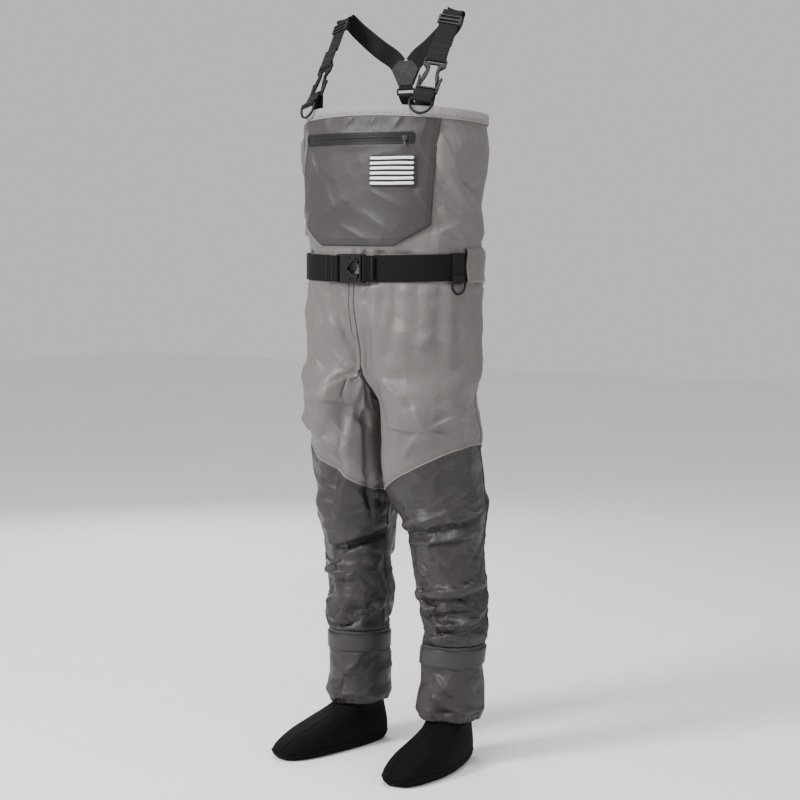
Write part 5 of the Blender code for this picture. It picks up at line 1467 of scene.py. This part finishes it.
def make_belt_hardware():
    centre = np.array((*BUCKLE_AT, BELT_HEIGHT - 0.004))
    wide, front = BELT_WIDE - 0.001, (0, -1, 0)
    bar = axes_frame(centre + np.array((-0.0305, 0, 0)), (-1, 0, 0), front)
    fold_loop("belt_end_webbing", bar, 0.0033, 0.036, -0.0034, wide, belt_webbing, "belt_male", "belt_end_loop")
    bar = axes_frame(centre + np.array((0.0315, 0, 0)), (1, 0, 0), front)
    fold_loop("belt_fixed_webbing", bar, 0.0040, 0.020, -0.0034, wide, belt_webbing, "garment", "belt_fixed_loop")
    face = centre + np.array((0, -0.0036, 0))
    bow = (
        (0.0150, -0.0215), (0.0080, -0.0150), (-0.0010, -0.0075), (-0.0060, 0.0),
        (-0.0010, 0.0075), (0.0080, 0.0150), (0.0150, 0.0215),
    )
    rib_path("belt_buckle_arch", [face + np.array((a, 0.0, b)) for a, b in bow], 0.0014, "belt_male")
    for k, z in enumerate((-0.0245, 0.0245)):
        line = [face + np.array((a, 0.0003, z)) for a in (-0.028, -0.014, 0.0, 0.012)]
        rib_path(f"belt_buckle_rail_{k}", line, 0.0010, "belt_male")
    face = centre + np.array((0, -0.0042, 0))
    rim = (
        (0.0045, 0.0250), (0.0290, 0.0250), (0.0312, 0.0225),
        (0.0312, -0.0225), (0.0290, -0.0250), (0.0045, -0.0250),
    )
    rib_path("belt_buckle_rim", [face + np.array((a, 0.0, b)) for a, b in rim], 0.0010, "garment")


def make_belt_loop(name, side):
    """Self-fabric loop over the belt, gathered at its sewn ends."""
    first, last = math.radians(78), math.radians(117)
    half_tall = 0.037
    rows, columns = 40, 34
    points, uvs = [], []
    for r in range(rows + 1):
        v = r / rows
        z = BELT_HEIGHT + half_tall - 2 * half_tall * v
        rise = float(ease(min(v, 1 - v) / 0.14))
        for c in range(columns + 1):
            u = c / columns
            angle = first + (last - first) * u
            pucker = 0.0010 * math.sin(u * 26 + v * 5) * (1 - rise) + 0.0011 * math.sin(u * 9 + v * 7 + side)
            edge = 0.0010 * math.exp(-min(u, 1 - u) / 0.03)
            out = 0.0014 + (BELT_STANDOFF + BELT_THICK + 0.0012) * rise + pucker - edge
            x, y, _ = torso_point(angle, z, out)
            points.append((side * x, y, z + 0.0016 * math.sin(u * 7)))
            uvs.append((u * 0.09, z))
    points = np.array(points)
    faces = grid_faces(rows + 1, columns + 1, False, side < 0)
    item = piece(f"{name}_fabric", points, faces, shell, nodes=(name,), uvs=uvs)
    thick(item, 0.0011)
    normals = vertex_normals(points, faces)
    grid, up = points.reshape(rows + 1, columns + 1, 3), normals.reshape(rows + 1, columns + 1, 3)
    whole = slice(None)
    for label, line in (("fore", (whole, 2)), ("aft", (whole, -3)), ("top", 2), ("low", -3)):
        stitches(f"{name}_stitch_{label}", grid[line] + up[line] * 0.0002, up[line], thread_grey)


def side_ring_frame():
    angle = angle_at(0.203, BELT_HEIGHT)
    tangent = around(0.205, BELT_HEIGHT) - around(0.201, BELT_HEIGHT)
    tangent /= np.linalg.norm(tangent)
    outward = np.array((tangent[1], -tangent[0], 0.0))
    origin = torso_point(angle, BELT_HEIGHT) + outward * (BELT_STANDOFF + BELT_THICK + 0.0014)
    return origin, outward, tangent


def make_side_hanger():
    """Webbing hanger over the belt, folded round the side ring's bar."""
    origin, outward, tangent = side_ring_frame()
    low = -BELT_WIDE / 2 - 0.0030
    knots = (
        (0.0009, 0.0252), (0.0009, 0.0), (0.0008, low + 0.0070), (0.0000, low + 0.0016), (0.0008, low - 0.0016),
        (0.0030, low - 0.0028), (0.0052, low - 0.0016), (0.0058, low + 0.0010), (0.0046, low + 0.0042),
        (0.0030, low + 0.0078), (0.0026, low + 0.0120),
    )
    up = np.array((0.0, 0.0, 1.0))
    axes = (origin, outward, up)
    folded("side_hanger_webbing", axes, knots, 0.026, 0.0013, webbing, "garment", "side_ring_loop")
    hinge = origin + outward * 0.0030 + up * low
    bow_ring("side_ring_bow", hinge, tangent, -up, 0.0150, 0.0230, 0.0020, "side_ring", "side_ring")
    seam = origin + outward * 0.0036 + up * (low + 0.0085)
    row = [seam + tangent * w for w in np.linspace(-0.0115, 0.0115, 20)]
    stitches("side_hanger_bartack", row, [outward] * 20, thread_dark, length=0.0022, gap=0.0007, radius=0.0005)


# ---- Suspenders ----
def bow_ring(name, hinge, axis, down, half, deep, radius, body, node_name):
    """D-shaped ring: straight bar on its hinge, round bow below."""
    turns = np.linspace(0, np.pi, 60)[1:-1]
    flat = [(a, 0.0) for a in np.linspace(-half, half, 16)]
    flat += [(half * math.cos(t), deep * math.sin(t) ** 0.8) for t in turns]
    path = [np.array(hinge) + np.array(axis) * a + np.array(down) * b for a, b in flat]
    item = tube(name, path, radius, plastic, body, closed=True, sides=12)
    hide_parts(node_name)


def strap_axes(side):
    direction = np.array((0, math.sin(STRAP_LEAN), math.cos(STRAP_LEAN)))
    outward = np.array((side * math.sin(STRAP_YAW), -math.cos(STRAP_YAW), 0))
    outward = unit(outward - (outward @ direction) * direction)
    return np.cross(direction, outward), direction, outward


def strap_point(side, along, out=0.0):
    _, direction, outward = strap_axes(side)
    y, z = STRAP_FOOT
    return np.array((side * STRAP_HALF_SPAN, y, z)) + direction * along + outward * out


def make_strap_parts(name, side):
    across, direction, outward = strap_axes(side)
    out = np.array((side * math.sin(STRAP_YAW), -math.cos(STRAP_YAW), 0))
    out = unit(out - (out @ across) * across)
    upward = unit(np.array((0.0, 0.0, 1.0)) - across[2] * across)
    origin = strap_point(side, ALONG_FEMALE)
    dx, dz = RING_BAR
    # Tab: from inside the hem up round the buckle's bar, down to the ring's bar and back.
    knots = (
        (-0.0014, -TAB_LENGTH + 0.0005), (-0.0014, -0.0330), (-0.0016, -0.0240), (-0.0030, -0.0140),
        (-0.0040, -0.0060), (-0.0043, 0.0000), (-0.0030, 0.0032), (0.0000, 0.0043), (0.0032, 0.0030),
        (0.0068, -0.0020), (0.0120, -0.0085), (dx + 0.0006, dz + 0.0040), (dx + 0.0030, dz + 0.0014),
        (dx + 0.0030, dz - 0.0014), (dx + 0.0008, dz - 0.0032), (dx - 0.0020, dz - 0.0026),
        (dx - 0.0046, dz + 0.0010), (0.0105, -0.0106), (0.0062, -0.0060),
    )
    wide = STRAP_WIDE - 0.001
    axes = (origin, out, upward)
    folded(f"{name}_tab_webbing", axes, knots, wide, 0.0013, webbing, "garment", f"{name}_hem_tab")
    tilt = math.radians(18)
    down = out * math.sin(tilt) - upward * math.cos(tilt)
    hinge, body = origin + out * dx + upward * dz, f"{name}_ring"
    bow_ring(f"{name}_ring_bow", hinge, across, down, 0.0218, 0.0255, 0.0024, body, f"{name}_d_ring")
    normal = out * 0.75 + upward * 0.65
    for k, (a, b) in enumerate(((0.0150, -0.0110), (0.0086, -0.0030))):
        row = [origin + out * a + upward * b + across * w for w in np.linspace(-0.0165, 0.0165, 26)]
        stitches(f"{name}_tab_bartack_{k}", row, [normal] * 26, thread_dark, "garment", 0.0022, 0.0007, 0.0005)
    bar = axes_frame(strap_point(side, ALONG_MALE), direction, outward)
    end, body, half_bar = f"{name}_strap_end_loop", f"{name}_male", BUCKLE_THICK / 2
    fold_loop(f"{name}_end_webbing", bar, half_bar, 0.039, 0.0002, wide, webbing, body, end)
    # Raised rims on the buckle halves.
    half = 0.022
    face = strap_point(side, ALONG_FEMALE) + outward * (BUCKLE_THICK / 2 + 0.0001)

    def on_face(a, b):
        return face + across * a + direction * b

    for part, along, radius, part_body in (("female", -0.0002, 0.0008, "garment"), ("male", 0.0682, 0.0009, body)):
        line = [on_face(a, along) for a in (-half + 0.003, 0, half - 0.003)]
        rib_path(f"{name}_{part}_bar_rib", line, radius, part_body)
    arm = (
        (0.0152, 0.0140), (0.0150, 0.0330), (0.0130, 0.0400),
        (0.0118, 0.0450), (0.0140, 0.0500), (0.0185, 0.0545),
    )
    for label, sign in (("a", 1), ("b", -1)):
        rib_path(f"{name}_male_arm_rib_{label}", [on_face(sign * a, b) for a, b in arm], 0.0007, body)


def shoulder_path(side):
    """Line of a shoulder strap and its outward directions, from the adjuster to the yoke."""
    low, high = strap_point(side, ALONG_STRAP, -0.0015), strap_point(side, ALONG_BEND, -0.0015)
    yoke_x, yoke_y, yoke_z = YOKE
    bend = np.array((side * 0.108, 0.0200, 1.4080))
    middle = (bend + np.array((yoke_x + side * 0.016, yoke_y, yoke_z + 0.012))) / 2
    knots = [low, low + (high - low) * 0.5, low + (high - low) * 0.93, high]
    knots += [(side * 0.128, -0.0005, 1.4310), (side * 0.126, 0.0085, 1.4305), bend, middle]
    for aside, above in ((0.0300, 0.0265), (0.0150, 0.0120)):
        knots.append((yoke_x + side * aside, yoke_y, yoke_z + above))
    guides = [strap_axes(side)[2]] * 4 + [(side * 0.1, -0.2, 1), (side * 0.3, 0.55, 0.85)]
    guides += [(side * 0.20, 0.9, 0.45)] + [(0, 1, 0)] * 3
    return smooth_path(knots, 12), smooth_path([unit(np.array(g, float)) for g in guides], 12)


def make_shoulder_strap(name, side):
    path, ups = shoulder_path(side)
    nodes = (f"{name}_shoulder_strap",)
    ribbon(f"{name}_shoulder_webbing", path, ups, STRAP_WIDE, STRAP_THICK * 0.9, webbing, nodes=nodes)


def slab(name, outline, depth, origin, x, y, look, node_name, soften=0.0006):
    """Flat sewn piece with rounded edges, from its outline."""
    curve = bpy.data.curves.new(name, "CURVE")
    curve.dimensions = "2D"
    curve.fill_mode = "BOTH"
    spline = curve.splines.new("POLY")
    spline.points.add(len(outline) - 1)
    for point, (a, b) in zip(spline.points, outline):
        point.co = (a, b, 0, 1)
    spline.use_cyclic_u = True
    curve.extrude = depth / 2 - soften
    curve.bevel_depth = soften
    curve.bevel_resolution = 2
    curve.offset = -soften
    shape = bpy.data.objects.new(name, curve)
    bpy.context.scene.collection.objects.link(shape)
    bpy.context.view_layer.update()
    mesh = bpy.data.meshes.new_from_object(shape.evaluated_get(bpy.context.evaluated_depsgraph_get()))
    flat = np.array([v.co[:] for v in mesh.vertices])
    faces = [list(p.vertices) for p in mesh.polygons]
    bpy.data.objects.remove(shape)
    z = np.cross(x, y)
    points = origin + flat[:, :1] * x + flat[:, 1:2] * y + flat[:, 2:] * z
    piece(name, points, faces, look, "garment", (node_name,), flat[:, :2], crease=35)


def make_yoke():
    x0, y0, z0 = YOKE
    right, up = np.array((1.0, 0, 0)), np.array((0, 0, 1.0))
    half = [(0.0165, -0.0260), (0.0185, -0.0210), (0.0310, 0.0030), (0.0300, 0.0070), (0.0160, 0.0215)]
    outline = half + [(-a, b) for a, b in reversed(half)]
    for node_name, offset in (("yoke_front", -0.0027), ("yoke_back", 0.0027)):
        name = f"{node_name}_patch"
        slab(name, outline, 0.0016, np.array((x0, y0 + offset, z0)), right, up, yoke_fabric, node_name)
        lift = offset + math.copysign(0.00085, offset)
        inner = [(a * 0.88, b * 0.88) for a, b in outline]
        rows = [inner + inner[:1], [inner[0], inner[5]], [inner[9], inner[4]]]
        for k, row in enumerate(rows):
            dense = []
            for (a, b), (c, d) in zip(row, row[1:]):
                dense += [(a + (c - a) * t, b + (d - b) * t) for t in np.linspace(0, 1, 12, endpoint=False)]
            path = [np.array((x0 + a, y0 + lift, z0 + b)) for a, b in dense]
            stitches(f"{name}_stitch_{k}", path, [(0, math.copysign(1, offset), 0)] * len(path), thread_dark)
    ring_z = z0 - 0.0385
    upper = axes_frame((x0, y0, ring_z + 0.0054), (0, 0, 1), (0, -1, 0))
    knots = (
        (0.0188, 0.0005), (0.0120, 0.0005), (0.0070, 0.0008), (0.0018, 0.0023), (-0.0012, 0.0021), (-0.0023, 0.0),
        (-0.0012, -0.0021), (0.0018, -0.0023), (0.0070, -0.0008), (0.0120, -0.0005), (0.0186, -0.0005),
    )
    wide = BACK_STRAP_WIDE - 0.003
    folded("yoke_tab_webbing", upper, knots, wide, 0.0008, webbing, "garment", "yoke_tab")
    z = ring_z - 0.0054
    knots = (
        (y0 + 0.0030, z - 0.0110), (y0 + 0.0020, z - 0.0060), (y0 + 0.0023, z - 0.0015), (y0 + 0.0020, z + 0.0016),
        (y0, z + 0.0024), (y0 - 0.0020, z + 0.0016), (y0 - 0.0023, z - 0.0015), (y0 - 0.0012, z - 0.0050),
        (y0 + 0.0085, z - 0.0162), (0.0830, 1.2480), (0.0945, 1.2350), (0.0985, 1.2240), (0.0975, 1.2100),
        (0.0925, 1.1900), (0.0842, 1.1655),
    )
    flat = smooth_path(knots, 6)
    path = [(x0, a, b) for a, b in flat]
    ups = [(0, t[1], -t[0]) for t in np.gradient(flat, axis=0)]
    ribbon("back_strap_webbing", path, ups, wide, 0.00153, webbing, nodes=("back_strap",))
    for k, height in enumerate((0.0185, 0.0225)):
        seam = np.array((x0, y0 + 0.0089 + (height - 0.0185) * 0.9, z - height - 0.0012))
        row = [seam + right * w for w in np.linspace(-0.0145, 0.0145, 22)]
        stitches(f"back_strap_bartack_{k}", row, [(0, -0.75, -0.6)] * 22, thread_grey)


# ---- Moulded pieces that stay ----
def finish_hardware():
    nodes = frame["nodes"]
    looks = {
        "zip_surround": zip_film, "zip_tape_upper": zip_tape, "zip_tape_lower": zip_tape, "zip_chain": zip_coil,
        "zip_slider": zip_pull_glint_grey, "zip_pull_ring": zip_pull_glint_grey, "zip_pull_tab": zip_pull_glint_grey,
        "belt_buckle_female": plastic, "belt_buckle_male": plastic, "yoke_ring": plastic,
    }
    for name, _ in SIDES:
        for part in ("buckle_female", "buckle_male", "adjuster"):
            looks[f"{name}_{part}"] = plastic
    for name, look in looks.items():
        item = nodes[name]
        item.data.materials.clear()
        item.data.materials.append(look)


make_bib()
make_hem()
make_pocket()
make_zip_details()
make_fly_patch()
for leg_name, leg_side in SIDES:
    leg_panel, leg_split = make_leg(leg_name, leg_side)
    leg_seams(leg_name, leg_side, leg_panel, leg_split)
    if leg_side < 0:
        centre_seam(leg_panel)
    make_cuffs(leg_name, leg_side)
    make_sock(leg_name, leg_side)
    make_belt_loop(f"{leg_name}_belt_loop", leg_side)
    make_strap_parts(leg_name, leg_side)
    make_shoulder_strap(leg_name, leg_side)
make_belt()
make_belt_hardware()
make_side_hanger()
make_yoke()
finish_hardware()

# ---- Stage, lights and camera ----
ground = bpy.data.meshes.new("floor")
ground.from_pydata([(-9, -9, 0), (9, -9, 0), (9, 9, 0), (-9, 9, 0)], [], [(0, 1, 2, 3)])
floor = bpy.data.objects.new("floor", ground)
floor.location.z = -0.0005
pale, pale_tree, pale_shader = shader_of("floor_pale", (0.90, 0.90, 0.90), 0.8, 0.2)
pale_place = node(pale_tree, "ShaderNodeTexCoord")
tinted(pale_tree, pale_shader, (0.90, 0.90, 0.90), noise(pale_tree, pale_place.outputs["Object"], 3.0), 0.01)
ground.materials.append(pale)
bpy.context.scene.collection.objects.link(floor)

world = bpy.data.worlds.new("studio")
bpy.context.scene.world = world
world.use_nodes = True
world.node_tree.nodes["Background"].inputs["Color"].default_value = (1.0, 1.0, 1.0, 1.0)
world.node_tree.nodes["Background"].inputs["Strength"].default_value = 0.65


def area_light(name, place, target, size, energy, tall=None):
    data = bpy.data.lights.new(name, "AREA")
    data.shape = "RECTANGLE"
    data.size = size
    data.size_y = tall or size
    data.energy = energy
    lamp = bpy.data.objects.new(name, data)
    lamp.location = place
    lamp.rotation_euler = (Vector(target) - Vector(place)).to_track_quat("-Z", "Y").to_euler()
    bpy.context.scene.collection.objects.link(lamp)


area_light("key", (-1.2, -2.8, 2.6), (0, 0, 0.75), 0.9, 165, 1.3)
area_light("fill", (3.3, -0.2, 1.9), (0, 0, 0.8), 0.8, 24, 1.4)
area_light("top", (0.3, -0.9, 3.4), (0, 0, 0.9), 1.2, 50)
area_light("rim", (-2.4, 1.9, 1.8), (0, 0, 0.9), 1.0, 40, 2.0)

AZIMUTH, DISTANCE, EYE_HEIGHT, AIM_HEIGHT, LENS = math.radians(35), 3.7, 1.02, 0.692, 85.8
side_step = np.array((math.cos(AZIMUTH), math.sin(AZIMUTH), 0.0)) * 0.00194
eye = SHIFT + side_step + np.array((DISTANCE * math.sin(AZIMUTH), -DISTANCE * math.cos(AZIMUTH), EYE_HEIGHT))
aim = SHIFT + side_step + np.array((0.0, 0.0, AIM_HEIGHT))
camera_data = bpy.data.cameras.new("camera")
camera_data.lens = LENS
camera_data.sensor_width = 36.0
camera = bpy.data.objects.new("camera", camera_data)
camera.location = eye
camera.rotation_euler = Vector(aim - eye).to_track_quat("-Z", "Y").to_euler()
bpy.context.scene.collection.objects.link(camera)
bpy.context.scene.camera = camera
